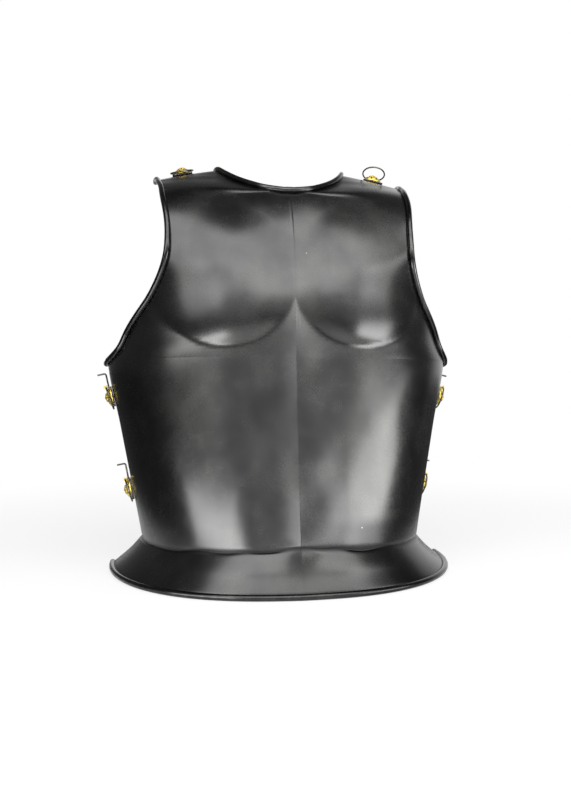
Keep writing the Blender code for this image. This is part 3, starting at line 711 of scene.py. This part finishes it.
@dataclass
class Plate:
    """The steel sheet with its ridge, chest, waist crease, flange and rolled edges."""

    form: SheetForm = field(default_factory=SheetForm)
    columns: int = 92
    rows_each: int = 10
    waist_rows: tuple[float, ...] = (-0.30, -0.22, -0.15, -0.10, -0.065, -0.035, -0.012, 0.0,
                                     0.012, 0.03, 0.05, 0.075, 0.105, 0.14, 0.19)
    roll_steps: int = 13
    roll_first: float = 12.0
    roll_last: float = 326.0
    roll_narrowing: float = 0.27    # how much smaller the roll is at the shoulder ends
    bead_height: float = 0.00036    # the fine raised line down the upper ridge
    bead_width: float = 0.0012
    bead_foot: Span = (0.262, 0.300)
    arm_rows: float = 2.0           # rows round the neck where the armhole is evened
    arm_shares: Span = (0.3, 0.7)
    arm_passes: int = 60
    groove_depth: float = 0.0007    # the hammered line at the waist
    groove_reach: tuple[float, float] = (0.085, 0.040)      # rows below and above
    groove_waves: tuple[Triple, ...] = ((0.0011, 58.0, 0.9), (0.0008, 131.0, 2.2))
    hammer_waves: tuple[tuple[float, ...], ...] = (
        (0.00022, 61.0, 23.0, 0.4), (0.00018, -37.0, 71.0, 1.9),
        (0.00012, 97.0, 58.0, 2.6), (0.00009, -118.0, 89.0, 0.9))
    hammer_foot: Span = (0.012, 0.05)       # the rim stays even, so that it stands flat
    lean_left: float = 0.11         # how much steeper the ridge falls on its left
    lean_right: float = 0.075       # how much gentler it falls on its right
    lean_width: float = 0.034
    lean_foot: Span = (0.034, 0.058)
    lean_head: Span = (0.22, 0.29)
    arc_depth: float = 0.0002       # the hollow under the chest domes
    arc_inside: float = 0.10        # its widths, in shares of the dome's size
    arc_outside: float = 0.14
    arc_sides: Span = (0.25, 0.75)
    bend_up: float = 0.2387         # the level of the armholes' lowest points
    bend_slope: float = 0.131       # how sharply the sheet would bend there
    bend_reach: float = 0.018
    bend_sides: Span = (0.05, 0.145)
    inside_place: Vector = field(default_factory=lambda: Vector((0.0, 0.05, 0.18)))
    sharp: float = 38.0
    name: str = "plate_sheet"

    def rows(self) -> Array:
        """Places the rows of the mesh, closer together at the waist.

        Returns:
            Their places along the sections.
        """
        last, waist = len(SECTIONS) - 1, ROW_OF["waist"]
        even = np.linspace(0.0, last, last * self.rows_each + 1)
        even = even[(even < waist - 0.32) | (even > waist + 0.2)]
        return np.sort(np.concatenate([even, waist + np.array(self.waist_rows)]))

    def uneven(self, points: Array) -> Array:
        """Works the sheet by hand.

        Args:
            points: Points of the outer face.

        Returns:
            How far back each point stands off the even form.
        """
        x, z = points[..., 0], points[..., 2]
        wide, form = np.abs(x), self.form
        total = sum(height * np.sin(along * x + up * z + start)
                    for height, along, up, start in self.hammer_waves)
        lean = np.where(x < 0.0, self.lean_left, self.lean_right)
        keel = (-lean * x * bell(x, self.lean_width) * eased(z, *self.lean_foot)
                * (1.0 - eased(z, *self.lean_head)))
        below = (form.chest_up - z) / form.chest_drop
        past = np.hypot((wide - form.chest_out) / form.chest_half_width, below) - 1.0
        valley = self.arc_depth * bell(past, np.where(past < 0.0, self.arc_inside,
                                                      self.arc_outside))
        valley *= eased(below, *self.arc_sides) * (wide > 0.004)
        bend = self.bend_slope / 2 * eased(wide, *self.bend_sides)
        far = np.abs(z - self.bend_up)
        softened = bend * (np.hypot(far, self.bend_reach) - far)
        return (total + keel + valley + softened) * eased(z, *self.hammer_foot)

    def shaped(self, rows: Array, shares: Array) -> Array:
        """Evens the armhole's edge and raises the fine line down the ridge.

        Args:
            rows: Places along the sections.
            shares: Places from the ridge or neck edge to the side or armhole.

        Returns:
            The grid of the +X half of the outer face.
        """
        face = self.form.point(rows[:, None], shares[None, :])
        weight = (0.5 * bell(rows - ROW_OF["neck"], self.arm_rows)[:, None]
                  * eased(shares, *self.arm_shares))
        for _ in range(self.arm_passes):
            middle = 0.5 * (face[2:] + face[:-2])
            face[1:-1] += weight[1:-1, :, None] * (middle - face[1:-1])
        x, z = face[..., 0], face[..., 2]
        face[..., 1] -= self.bead_height * bell(x, self.bead_width) * eased(z, *self.bead_foot)
        return face

    def waist_line(self, row: Array) -> Array:
        """Returns how deep rows lie in the hammered waist line."""
        past, (under, over) = row - ROW_OF["waist"], self.groove_reach
        return np.where(past < 0.0, bell(past, under), bell(past, over))

    def rolled(self, edge: Array, along: Array, side: Array,
               narrower: Array | float = 0.0) -> Array:
        """Rolls an edge over.

        Args:
            edge: The edge's points.
            along: The direction of the edge.
            side: The outer face's normal at the edge.
            narrower: How far the roll has narrowed, from 0 to 1.

        Returns:
            One row of points for each edge point.
        """
        away = unit(np.cross(along, side))
        narrowed = self.roll_narrowing * np.broadcast_to(narrower, len(edge))
        radius = self.form.roll_radius * (1.0 - narrowed)[:, None]
        centre = edge + side * radius
        turn = np.radians(np.linspace(self.roll_first, self.roll_last, self.roll_steps))
        radial = -side[:, None] * np.cos(turn)[:, None] + away[:, None] * np.sin(turn)[:, None]
        return centre[:, None] + radius[:, None] * radial

    def grid(self) -> tuple[Array, Array, Array, Array]:
        """Lays out the half sheet as a grid, with its rolls round the face.

        Returns:
            The points, which of them are used, how much each belongs to a
            rolled edge, and how deep each lies in the waist line.
        """
        rows, steps = self.rows(), self.roll_steps
        shares = np.linspace(0.0, 1.0, self.columns + 1) ** 1.5
        face = self.shaped(rows, shares)
        upward = np.gradient(face, axis=0)
        upward[0] = face[1] - face[0]
        normal = unit(np.cross(np.gradient(face, axis=1), upward))
        shape = (len(rows) + steps, len(shares) + 2 * steps)
        grid = np.zeros(shape + (3,))

        neck = np.nonzero(rows >= ROW_OF["neck"])[0]
        along = np.gradient(face[neck, 0], axis=0)
        along[0] = (1.0, 0.0, 0.0)
        side = normal[neck, 0].copy()
        side[0, 0] = 0.0
        roll = self.rolled(face[neck, 0], -along, squared(side, along),
                           eased(rows[neck], ROW_OF["neck_4"], ROW_OF["end"]))
        roll[0, :, 0] = 0.0
        grid[steps + neck, :steps] = roll[:, ::-1]

        arm = np.nonzero(rows >= ROW_OF["corner"])[0]
        along = np.gradient(face[arm, -1], axis=0)
        grid[steps + arm, -steps:] = self.rolled(
            face[arm, -1], along, squared(normal[arm, -1], along),
            eased(rows[arm], ROW_OF["throat"], ROW_OF["neck_5"]))

        side = normal[0].copy()
        side[0, 0] = 0.0
        side = unit(side)
        level = self.form.roll_radius + self.form.thickness
        face[0, :, 2] += level - (face[0, :, 2] + side[:, 2] * self.form.roll_radius)
        flat = unit(side * (1.0, 1.0, 0.0))
        roll = self.rolled(face[0], np.cross(flat, (0.0, 0.0, -1.0)), side)
        roll[0, :, 0] = 0.0
        grid[:steps, steps:-steps] = np.swapaxes(roll, 0, 1)[::-1]

        groove = self.waist_line(np.broadcast_to(rows[:, None], face.shape[:2]))
        face[..., 1] += self.groove_depth * groove
        used, bead, crease = np.zeros(shape, bool), np.ones(shape), np.zeros(shape)
        inner = (slice(steps, None), slice(steps, -steps))
        grid[inner], bead[inner], crease[inner] = face, 0.0, groove
        used[steps + neck[0]:, :steps] = True
        used[steps + arm[0]:, -steps:] = True
        used[:, steps:-steps] = True
        return grid, used, bead, crease

    def outer_face(self) -> Shape:
        """Makes the whole outer face, mirrored and worked by hand.

        Returns:
            The face with its rolls, without thickness.
        """
        grid, used, bead, crease = self.grid()
        tall, wide = grid.shape[0] - 1, grid.shape[1] - 1
        work = bmesh.new()
        bmesh.ops.create_grid(work, x_segments=wide, y_segments=tall, size=0.5)
        bead_layer = work.verts.layers.float.new("bead")
        crease_layer = work.verts.layers.float.new("crease")
        unused = []
        for vertex in work.verts:
            place = (round((vertex.co.y + 0.5) * tall), round((vertex.co.x + 0.5) * wide))
            if not used[place]:
                unused.append(vertex)
            vertex.co = grid[place]
            vertex[bead_layer] = bead[place]
            vertex[crease_layer] = crease[place]
        bmesh.ops.delete(work, geom=unused, context="VERTS")
        whole = work.verts[:] + work.edges[:] + work.faces[:]
        bmesh.ops.mirror(work, geom=whole, matrix=Matrix.Identity(4), merge_dist=MERGE,
                         axis="X")
        bmesh.ops.remove_doubles(work, verts=work.verts, dist=MERGE)
        bmesh.ops.recalc_face_normals(work, faces=work.faces)
        broad = max(work.faces, key=lambda face: face.calc_area())
        if broad.normal.dot(broad.calc_center_median() - self.inside_place) < 0.0:
            bmesh.ops.reverse_faces(work, faces=work.faces)
        places = np.array([vertex.co for vertex in work.verts])
        sways = sum(height * np.sin(along * places[:, 0] + start)
                    for height, along, start in self.groove_waves)
        for vertex, off, sway in zip(work.verts, self.uneven(places), sways):
            vertex.co.y += off + PLACED_BACK
            vertex.co.z += sway * vertex[crease_layer]
        return work

    def build(self) -> None:
        """Makes the sheet and gives it its wall."""
        piece = show(self.name, self.outer_face(), STEEL)
        wall = piece.modifiers.new("Wall", "SOLIDIFY")
        wall.thickness = self.form.thickness
        wall.offset = -1.0
        wall.use_quality_normals = True
        bpy.context.view_layer.update()
        data = bpy.data.meshes.new_from_object(
            piece.evaluated_get(bpy.context.evaluated_depsgraph_get()))
        piece.modifiers.clear()
        old, piece.data = piece.data, data
        bpy.data.meshes.remove(old)
        data.name = self.name
        smoothed(data, self.sharp)
        settle(piece, "plate", "breastplate")


# The half hinges with their rosettes and tie rings.

# The rosette's outline over its foot, in shares of its radius and its height.
PETAL_OUTLINE = (
    (0.0, 1.00), (0.07, 0.995), (0.13, 0.965), (0.165, 0.925), (0.18, 0.88), (0.20, 0.865),
    (0.25, 0.885), (0.32, 0.880), (0.39, 0.845), (0.45, 0.785), (0.485, 0.715),
    (0.495, 0.655), (0.50, 0.615), (0.53, 0.605), (0.58, 0.615), (0.64, 0.595),
    (0.70, 0.545), (0.755, 0.470), (0.80, 0.380), (0.835, 0.290), (0.855, 0.215),
    (0.865, 0.170))
# The foot's outline, in shares of the radius and of the foot's own height.
FOOT_OUTLINE = ((0.885, 0.93), (0.91, 1.0), (0.965, 1.0), (0.99, 0.86), (1.0, 0.6))
# Radii and widths of the rosette's dark rings, in shares of its radius.
DARK_RINGS = ((0.195, 0.022), (0.52, 0.035), (0.87, 0.02))
# The eye's stem: radius and height in metres.
STEM_OUTLINE = ((0.0, 0.0), (0.0013, 0.0), (0.00105, 0.0025), (0.00095, 0.0048),
                (0.0010, 0.0056), (0.0, 0.0056))


@dataclass(frozen=True)
class Petals:
    """How one tier of petals is cut, with radii in shares of the rosette's."""

    depth: float        # how far the valleys sink, as a share of their height
    sunk: Span          # radii from which they sink and where they are deepest
    pull: float         # how far the valleys are drawn in
    drawn: Span
    shift: float        # how far the tier is turned, in petals


UPPER_TIER = Petals(0.20, (0.20, 0.36), 0.10, (0.24, 0.48), 0.5)
LOWER_TIER = Petals(0.30, (0.54, 0.74), 0.06, (0.60, 0.84), 0.0)


class Station(Enum):
    """The six places that carry a half hinge."""

    SHOULDER_LEFT = "shoulder_left"
    SHOULDER_RIGHT = "shoulder_right"
    SIDE_UPPER_LEFT = "side_upper_left"
    SIDE_UPPER_RIGHT = "side_upper_right"
    SIDE_LOWER_LEFT = "side_lower_left"
    SIDE_LOWER_RIGHT = "side_lower_right"

    @property
    def on_shoulder(self) -> bool:
        """Returns whether the place is on a shoulder end."""
        return self.value.startswith("shoulder")

    @property
    def mirrored(self) -> bool:
        """Returns whether the place is on the -X half."""
        return self.value.endswith("left")

    @property
    def bent_end(self) -> int:
        """Returns which way along the barrel the pin's bent end points."""
        return -1 if self.on_shoulder or self.mirrored else 1


@dataclass(frozen=True)
class HingeSizes:
    """Sizes that the pieces of a half hinge share."""

    gap: float = 0.00035
    leaf_thickness: float = 0.0015
    leaf_height: float = 0.024
    leaf_front: float = 0.011
    edge_to_rosette: float = 0.0145
    barrel_past_edge: float = 0.004
    barrel_radius: float = 0.0027
    knuckle_length: float = 0.0068
    mate_gap: float = 0.0064
    pin_radius: float = 0.001
    pin_above: float = 0.019
    pin_below: float = 0.005
    pin_arm: float = 0.010
    pin_bend_radius: float = 0.0022
    rosette_radius: float = 0.0118
    rosette_height: float = 0.0082
    rosette_edge: float = 0.0013
    petals: int = 8
    post_radius: float = 0.0016
    post_head_radius: float = 0.0034
    eye_radius: float = 0.0026
    eye_thickness: float = 0.0020
    eye_up: float = 0.0044
    wire_radius: float = 0.0009
    ring_radius: float = 0.0134
    upper_side_up: float = 0.199
    lower_side_up: float = 0.091
    shoulder_share: float = 0.55
    bore_slack: float = 0.0002      # room between a sleeve and its pin
    eye_slack: float = 0.00045      # room between the eye and its ring
    sleeve_round: float = 0.0003    # radii of the pieces' rounded edges
    eye_round: float = 0.00035
    leaf_round: float = 0.00025
    pin_round: float = 0.0003
    eye_past: float = 1.03          # the eye's place, in shares of the rosette's radius
    stem_out: float = 0.42          # the stem's start, in the same shares
    stem_up: float = 0.72           # and in shares of the eye's height

    @property
    def barrel(self) -> tuple[float, float]:
        """Returns where the barrel's axis lies in the half hinge's frame."""
        return self.edge_to_rosette + self.barrel_past_edge, self.gap + self.barrel_radius

    @property
    def rest_lean(self) -> float:
        """Returns how far a ring that lies on the leaf leans in."""
        return math.asin((self.eye_up - self.wire_radius - self.gap) / (2 * self.ring_radius))


@dataclass
class HalfHinge:
    """One half hinge: leaf, bent pin, rosette and tie ring."""

    station: Station
    form: SheetForm
    raised: float = 0.0
    sizes: HingeSizes = field(default_factory=HingeSizes)

    def place(self) -> tuple[Array, ...]:
        """Finds the rosette's place on the +X half of the sheet.

        Returns:
            Its spot, and the directions off the edge, along it and out.
        """
        form, reach = self.form, self.sizes.edge_to_rosette
        if self.station.on_shoulder:
            last, share = len(SECTIONS) - 1, self.sizes.shoulder_share
            rows = np.linspace(last, last - 3.0, 400)
            row = read_along(form.point(rows, share), rows, reach)
            start, end = form.point(last, share + 0.2), form.point(last, share - 0.2)
        else:
            upper = "upper" in self.station.value
            height = self.sizes.upper_side_up if upper else self.sizes.lower_side_up
            rows = np.linspace(ROW_OF["waist"], ROW_OF["corner"], 200)
            row = float(np.interp(height, form.point(rows, 1.0)[:, 2], rows))
            shares = np.linspace(1.0, 0.4, 400)
            share = read_along(form.point(row, shares), shares, reach)
            start, end = form.point(row - 0.1, 1.0), form.point(row + 0.1, 1.0)
        step = 0.01
        over = form.point(row, share + step) - form.point(row, share - step)
        up = form.point(row + step, share) - form.point(row - step, share)
        out = unit(np.cross(over, up))
        edge = squared(end - start, out)
        return form.point(row, share), np.cross(edge, out), edge, out

    def matrix(self, lift: float = 0.0) -> Matrix:
        """Finds the half hinge's frame in the scene.

        Args:
            lift: How far the frame is raised off the sheet.

        Returns:
            The frame's matrix.
        """
        spot, side, edge, out = (Vector(part) for part in self.place())
        if self.station.mirrored:
            for vector in (spot, side, edge, out):
                vector.x = -vector.x
            edge = out.cross(side)
        spot.y += PLACED_BACK
        return frame_of(side, edge, out, spot + out * lift)

    @property
    def eye_way(self) -> Vector:
        """Returns which way the eye of the ring stands from the rosette."""
        on_shoulder = self.station.on_shoulder
        return Vector((1, 0, 0)) if on_shoulder else Vector((0, self.station.bent_end, 0))

    @property
    def eye_place(self) -> Vector:
        """Returns the middle of the eye in the rosette's frame."""
        s = self.sizes
        return self.eye_way * s.rosette_radius * s.eye_past + UP * s.eye_up

    def build(self) -> None:
        """Makes the four pieces of the half hinge."""
        on_sheet = self.matrix()
        on_leaf = self.matrix(2 * self.sizes.gap + self.sizes.leaf_thickness)
        self._add("leaf", "hinge_leaf", self._leaf(), on_sheet, IRON)
        self._add("pin", "hinge_pin", self._pin(), on_sheet, IRON)
        self._add("boss", "rosette", self._rosette(), on_leaf, BRASS, sharp=42.0)
        self._add("tie_ring", "ring", self._ring(), on_leaf, WIRE,
                  body=f"ring_{self.station.value}")

    def _add(self, part: str, node: str, work: Shape, matrix: Matrix,
             finish: Finish, body: str = "plate", sharp: float = 35.0) -> None:
        """Puts a piece in its place in the scene.

        Args:
            part: The end of the piece's name.
            node: The end of its CAD node's name.
            work: Its shape in the half hinge's frame.
            matrix: That frame.
            finish: The piece's finish.
            body: The body that carries it.
            sharp: The angle in degrees past which an edge is shaded sharp.
        """
        bmesh.ops.transform(work, matrix=matrix, verts=work.verts)
        piece = show(f"{self.station.value}_{part}", work, finish, sharp)
        settle(piece, body, f"{self.station.value}_{node}")

    def _leaf(self) -> Shape:
        """Returns the shape of the leaf with its two knuckles."""
        s = self.sizes
        axis_x, axis_z = s.barrel
        work = bmesh.new()
        bmesh.ops.create_cube(work, size=1.0)
        length = s.leaf_front + s.edge_to_rosette
        for vertex in work.verts:
            vertex.co = ((vertex.co.x + 0.5) * length - s.leaf_front,
                         vertex.co.y * s.leaf_height,
                         s.gap + (vertex.co.z + 0.5) * s.leaf_thickness)
        upright = [edge for edge in work.edges
                   if abs(edge.verts[0].co.z - edge.verts[1].co.z) > s.leaf_thickness / 2
                   and edge.verts[0].co.x < 0.0]
        bevelled(work, upright, s.leaf_height / 6, segments=8)
        reach = axis_x - s.edge_to_rosette + s.leaf_thickness
        within = 0.98       # the tongues stay this much inside the leaf and the sleeves
        size = (reach, s.knuckle_length * within, s.leaf_thickness * within, 1.0)
        for sign in (1, -1):
            middle = sign * (s.mate_gap + s.knuckle_length) / 2
            tongue = bmesh.new()
            bmesh.ops.create_cube(tongue, size=1.0)
            fit = Matrix.Translation((s.edge_to_rosette - s.leaf_thickness + reach / 2, middle,
                                      s.gap + s.leaf_thickness / 2))
            take_in(work, tongue, fit @ Matrix.Diagonal(size))
            sleeve = turned(rounded_section(s.pin_radius + s.bore_slack, s.barrel_radius,
                                            s.knuckle_length / 2, s.sleeve_round), 36,
                            closed=True)
            take_in(work, sleeve, Matrix.Translation((axis_x, middle, axis_z))
                    @ Matrix.Rotation(math.radians(90.0), 4, "X"))
        outline = [edge for edge in work.edges if edge.is_manifold
                   and edge.calc_face_angle(0.0) > math.radians(50.0)
                   and all(vertex.co.x < s.edge_to_rosette for vertex in edge.verts)]
        bevelled(work, outline, s.leaf_round)
        return work

    def _pin(self) -> Shape:
        """Returns the pin, drawn from a round section along its bent line."""
        s = self.sizes
        up = self.station.bent_end
        half_barrel = s.knuckle_length + s.mate_gap / 2
        top = half_barrel + s.pin_above
        bend = s.pin_bend_radius
        arm = Vector((1, 0, 0)) if self.station.on_shoulder else UP
        quarter = math.radians(90.0)
        work = bmesh.new()
        start = Matrix.Translation((0, -up * (half_barrel + s.pin_below), 0))
        bmesh.ops.create_circle(work, cap_ends=False, segments=20, radius=s.pin_radius,
                                matrix=start @ Matrix.Rotation(quarter, 4, "X"))
        bmesh.ops.holes_fill(work, edges=work.edges)
        drawn = bmesh.ops.extrude_face_region(work, geom=work.faces[:], use_keep_orig=True)
        head = faces_in(drawn["geom"])
        straight = top - bend + half_barrel + s.pin_below
        bmesh.ops.translate(work, vec=(0, up * straight, 0), verts=head[0].verts)
        centre = Vector((0, up * (top - bend), 0)) + arm * bend
        turn = bmesh.ops.spin(work, geom=head, cent=centre, axis=Vector((0, up, 0)).cross(arm),
                              angle=quarter, steps=8)
        drawn = bmesh.ops.extrude_face_region(work, geom=faces_in(turn["geom_last"]))
        head = faces_in(drawn["geom"])
        bmesh.ops.translate(work, vec=arm * (s.pin_arm - bend), verts=head[0].verts)
        bmesh.ops.remove_doubles(work, verts=work.verts, dist=MERGE)
        inside = [face for face in work.faces if len(face.verts) > 4
                  and any(len(edge.link_faces) > 2 for edge in face.edges)]
        bmesh.ops.delete(work, geom=inside, context="FACES_ONLY")
        bmesh.ops.recalc_face_normals(work, faces=work.faces)
        ends = [edge for face in work.faces if len(face.verts) > 4 for edge in face.edges]
        bevelled(work, ends, s.pin_round)
        bmesh.ops.translate(work, vec=(s.barrel[0], 0, s.barrel[1]), verts=work.verts)
        return work

    def _petalled(self) -> Shape:
        """Makes the rosette's two tiers of petals on their round foot, with the post.

        Returns:
            Their shape, with the attribute that darkens the hollows.
        """
        s = self.sizes
        wide, tall, edge = s.rosette_radius, s.rosette_height, s.rosette_edge
        under = -(2 * s.gap + s.leaf_thickness + self.form.thickness)
        head = s.post_head_radius
        points = [(wide * radius, tall * height) for radius, height in PETAL_OUTLINE]
        points += [(wide * radius, edge * height) for radius, height in FOOT_OUTLINE]
        points += [(wide, 0.00012), (wide * 0.99, 0.0), (s.post_radius, 0.0),
                   (s.post_radius, under), (head, under), (head * 0.92, under - 0.0006),
                   (head * 0.55, under - 0.0012), (0.0, under - 0.0014)]
        work = turned(points, 96)
        layer = work.verts.layers.float.new("hollow")
        for vertex in work.verts:
            radius = math.hypot(vertex.co.x, vertex.co.y) / wide
            if vertex.co.z <= edge * 1.02 or radius < 0.001:
                vertex[layer] = float(bell(radius - 0.88, 0.02)) * (vertex.co.z > edge * 0.8)
                continue
            tier = UPPER_TIER if radius < 0.51 else LOWER_TIER
            angle = math.atan2(vertex.co.y, vertex.co.x) + tier.shift * math.tau / s.petals
            valley = 1.0 - abs(math.cos(s.petals / 2 * angle)) ** 0.75
            petalled = radius >= 0.19       # inside this the top knob is plain
            weight = tier.depth * float(eased(radius, *tier.sunk)) * petalled
            pull = tier.pull * float(eased(radius, *tier.drawn)) * petalled
            low = vertex.co.z / tall < 0.97
            vertex.co.z -= (vertex.co.z - edge) * weight * valley
            vertex.co.x *= 1.0 - pull * valley
            vertex.co.y *= 1.0 - pull * valley
            dark = max(valley * min(1.0, weight * 5.0),
                       *(float(bell(radius - ring, width)) for ring, width in DARK_RINGS))
            vertex[layer] = dark * (0.4 + 0.6 * low)
        return work

    def _rosette(self) -> Shape:
        """Returns the shape of the rosette with the eye that holds the ring."""
        s, way, hub = self.sizes, self.eye_way, self.eye_place
        work = self._petalled()
        across = UP.cross(way)
        eye = turned(rounded_section(s.wire_radius + s.eye_slack, s.eye_radius,
                                     s.eye_thickness / 2, s.eye_round), 40, closed=True)
        take_in(work, eye, frame_of(way, across.cross(way), across, hub))
        start = way * s.rosette_radius * s.stem_out + UP * s.eye_up * s.stem_up
        fit = (hub - way * (s.eye_radius * 0.8) - start).normalized()
        stem = turned(STEM_OUTLINE, 20)
        take_in(work, stem, frame_of(across, fit.cross(across), fit, start))
        bmesh.ops.recalc_face_normals(work, faces=work.faces)
        return work

    def _ring(self) -> Shape:
        """Returns the shape of the tie ring, hung in the eye."""
        s, way = self.sizes, self.eye_way
        section = [(s.ring_radius + s.wire_radius * math.cos(angle),
                    s.wire_radius * math.sin(angle))
                   for angle in np.linspace(0.0, math.tau, 15)[:-1]]
        work = turned(section, 84, closed=True)
        bmesh.ops.translate(work, verts=work.verts, vec=(-s.ring_radius, 0.0, 0.0))
        pose = (Matrix.Translation(self.eye_place) @ frame_of(way, UP.cross(way), UP)
                @ Matrix.Rotation(self.raised - s.rest_lean, 4, "Y"))
        bmesh.ops.transform(work, matrix=pose, verts=work.verts)
        return work


# The studio.

@dataclass(frozen=True)
class SoftLight:
    """A soft light that faces the plate."""

    name: str
    azimuth: float              # degrees round from the camera's side
    height: float               # metres from the floor to its middle
    distance: float             # metres along the floor from the target
    width: float
    tall: float
    glow: float                 # brightness of the light's face
    roll: float = 0.0           # degrees, with its +X end raised

    def build(self, target: Vector) -> None:
        """Adds the light.

        Args:
            target: The place above or below which the light is aimed, level.
        """
        angle = math.radians(self.azimuth)
        spot = Vector((target.x + self.distance * math.sin(angle),
                       target.y - self.distance * math.cos(angle), self.height))
        light = bpy.data.lights.new(self.name, "AREA")
        light.shape = "RECTANGLE"
        light.size = self.width
        light.size_y = self.tall
        light.energy = self.glow * math.pi * self.width * self.tall
        thing = linked(self.name, light)
        thing.location = spot
        aim = Vector((target.x, target.y, self.height))
        facing = (aim - spot).to_track_quat("-Z", "Y").to_matrix().to_4x4()
        roll = Matrix.Rotation(math.radians(self.roll), 4, "Z")
        thing.rotation_euler = (facing @ roll).to_euler()
        thing.visible_camera = False
        LOG.info("%s shines from %.0f degrees", self.name, self.azimuth)


SOFT_LIGHTS = (
    SoftLight("upper_left_softbox", -28.0, 2.43, 1.30, 1.38, 3.46, 3.2),
    SoftLight("upper_right_softbox", 28.0, 2.31, 1.30, 1.38, 3.30, 3.1),
    SoftLight("outer_left_softbox", -47.0, 0.55, 1.25, 0.84, 0.28, 3.3, 13.0),
    SoftLight("outer_right_softbox", 55.0, 0.62, 1.25, 0.68, 0.24, 3.3, -9.0),
    SoftLight("low_left_softbox", -52.0, 0.050, 0.41, 0.35, 0.115, 7.8, 8.0),
    SoftLight("low_right_softbox", 57.0, 0.075, 0.70, 0.48, 0.15, 8.0),
    SoftLight("middle_right_softbox", 58.5, 0.20, 0.70, 0.45, 0.10, 6.0),
)


@dataclass
class Studio:
    """Floor, surroundings, soft lights and camera."""

    camera_place: Triple = (-0.1164, -0.7917, 0.1932)
    azimuth: float = -7.88
    elevation: float = -2.28
    roll: float = -0.14
    focal_pixels: float = 717.0
    frame_height: float = 800.0
    sensor: float = 36.0
    shift: tuple[float, float] = (0.00425, -0.03475)
    lit_place: Triple = (0.0, -0.06, 0.22)
    floor_half: float = 6.0
    floor_down: float = 0.0002      # keeps the floor clear of what stands on it
    floor_colours: tuple[Triple, Triple] = ((0.90, 0.90, 0.90), (0.96, 0.96, 0.96))
    floor_fade: Span = (0.25, 1.1)          # metres out to where the floor is plain white
    side_dark: Span = (0.22, 0.42)          # metres sideways to where it reflects dark
    room_glow: float = 0.13
    back_wall: Span = (0.72, 0.90)          # parts of a unit direction
    front_wall: Span = (0.70, 0.92)
    front_glow: float = 0.55
    ceiling: Span = (0.90, 0.97)

    def build(self) -> None:
        """Builds the studio."""
        self._camera()
        self._floor()
        self._surroundings()
        for light in SOFT_LIGHTS:
            light.build(Vector(self.lit_place))

    def _camera(self) -> None:
        """Places the camera at the photograph's viewing angle."""
        a, e, r = (math.radians(value) for value in (self.azimuth, self.elevation, self.roll))
        back = Vector((math.sin(a) * math.cos(e), -math.cos(a) * math.cos(e), math.sin(e)))
        right = Vector((math.cos(a), math.sin(a), 0.0))
        up = back.cross(right)
        right, up = (right * math.cos(r) + up * math.sin(r),
                     up * math.cos(r) - right * math.sin(r))
        data = bpy.data.cameras.new("camera")
        data.sensor_width = self.sensor
        data.lens = self.focal_pixels / self.frame_height * self.sensor
        data.shift_x, data.shift_y = self.shift
        camera = linked("camera", data)
        camera.matrix_world = frame_of(right, up, back, Vector(self.camera_place))
        bpy.context.scene.camera = camera
        bpy.context.scene.view_settings.view_transform = "Standard"

    def _floor(self) -> None:
        """Adds the plain pale floor."""
        work = bmesh.new()
        bmesh.ops.create_grid(work, x_segments=8, y_segments=8, size=self.floor_half)
        bmesh.ops.translate(work, verts=work.verts, vec=(0.0, 0.0, -self.floor_down))
        data = bpy.data.meshes.new("floor")
        work.to_mesh(data)
        work.free()
        data.materials.append(self._floor_paint())
        linked("floor", data)

    def _floor_paint(self) -> bpy.types.Material:
        """Makes a paint that is white far off and reflects dark at the sides.

        Returns:
            The floor's material.
        """
        paint = bpy.data.materials.new("floor_paint")
        paint.use_nodes = True
        nodes, bench = paint.node_tree.nodes, Bench(paint.node_tree)
        place = bench.place()
        first, second = self.floor_colours
        cloud = bench.noise(place, 2.5, 2.0)
        shader = nodes["Principled BSDF"]
        bench.fill(shader, {"Base Color": bench.mixed(cloud, rgba(first), rgba(second)),
                            "Roughness": 0.9, "Specular IOR Level": 0.1})
        length = bench.node("ShaderNodeVectorMath", {"operation": "LENGTH"}, {0: place})
        far = bench.limited(length.outputs["Value"], *self.floor_fade)
        sideways = bench.math("ABSOLUTE", bench.axes(place)[0])
        seen = bench.camera_ray()
        dim = 1.0 - 0.93 * bench.limited(sideways, *self.side_dark) * (1.0 - seen)
        white, black = (bench.node("ShaderNodeEmission", {},
                                   {"Color": rgba((tone,) * 3)}).outputs[0]
                        for tone in (1.0, 0.02))
        lit = bench.node("ShaderNodeMixShader", {}, {0: dim, 1: black, 2: shader.outputs[0]})
        both = bench.node("ShaderNodeMixShader", {},
                          {0: seen * (0.72 + 0.28 * far), 1: lit.outputs[0], 2: white})
        bench.fill(nodes["Material Output"], {"Surface": both.outputs[0]})
        return paint

    def _surroundings(self) -> None:
        """Gives the room a white back wall, dark sides and a dim front."""
        world = bpy.data.worlds.new("studio")
        bpy.context.scene.world = world
        world.use_nodes = True
        bench = Bench(world.node_tree)
        x, y, z = bench.axes(bench.node("ShaderNodeTexCoord").outputs["Generated"])
        behind = bench.limited(y + 0.5 * x, *self.back_wall)
        front = bench.limited(-1.0 * y, *self.front_wall) * self.front_glow
        roof = bench.limited(z, *self.ceiling)
        glow = (self.room_glow + behind + front) * (1.0 - 0.8 * roof)
        seen = bench.camera_ray()
        bench.fill(world.node_tree.nodes["Background"], {
            "Color": rgba((1.0, 1.0, 1.0)), "Strength": seen + (1.0 - seen) * glow})


def main() -> None:
    """Builds the pieces and the studio in order."""
    logging.basicConfig(level=logging.INFO, format="%(name)s: %(message)s")
    form = SheetForm()
    Studio().build()
    Plate(form).build()
    for station in Station:
        raised = math.radians(32.0) if station is Station.SHOULDER_RIGHT else 0.0
        HalfHinge(station, form, raised).build()


if __name__ == "__main__":
    main()
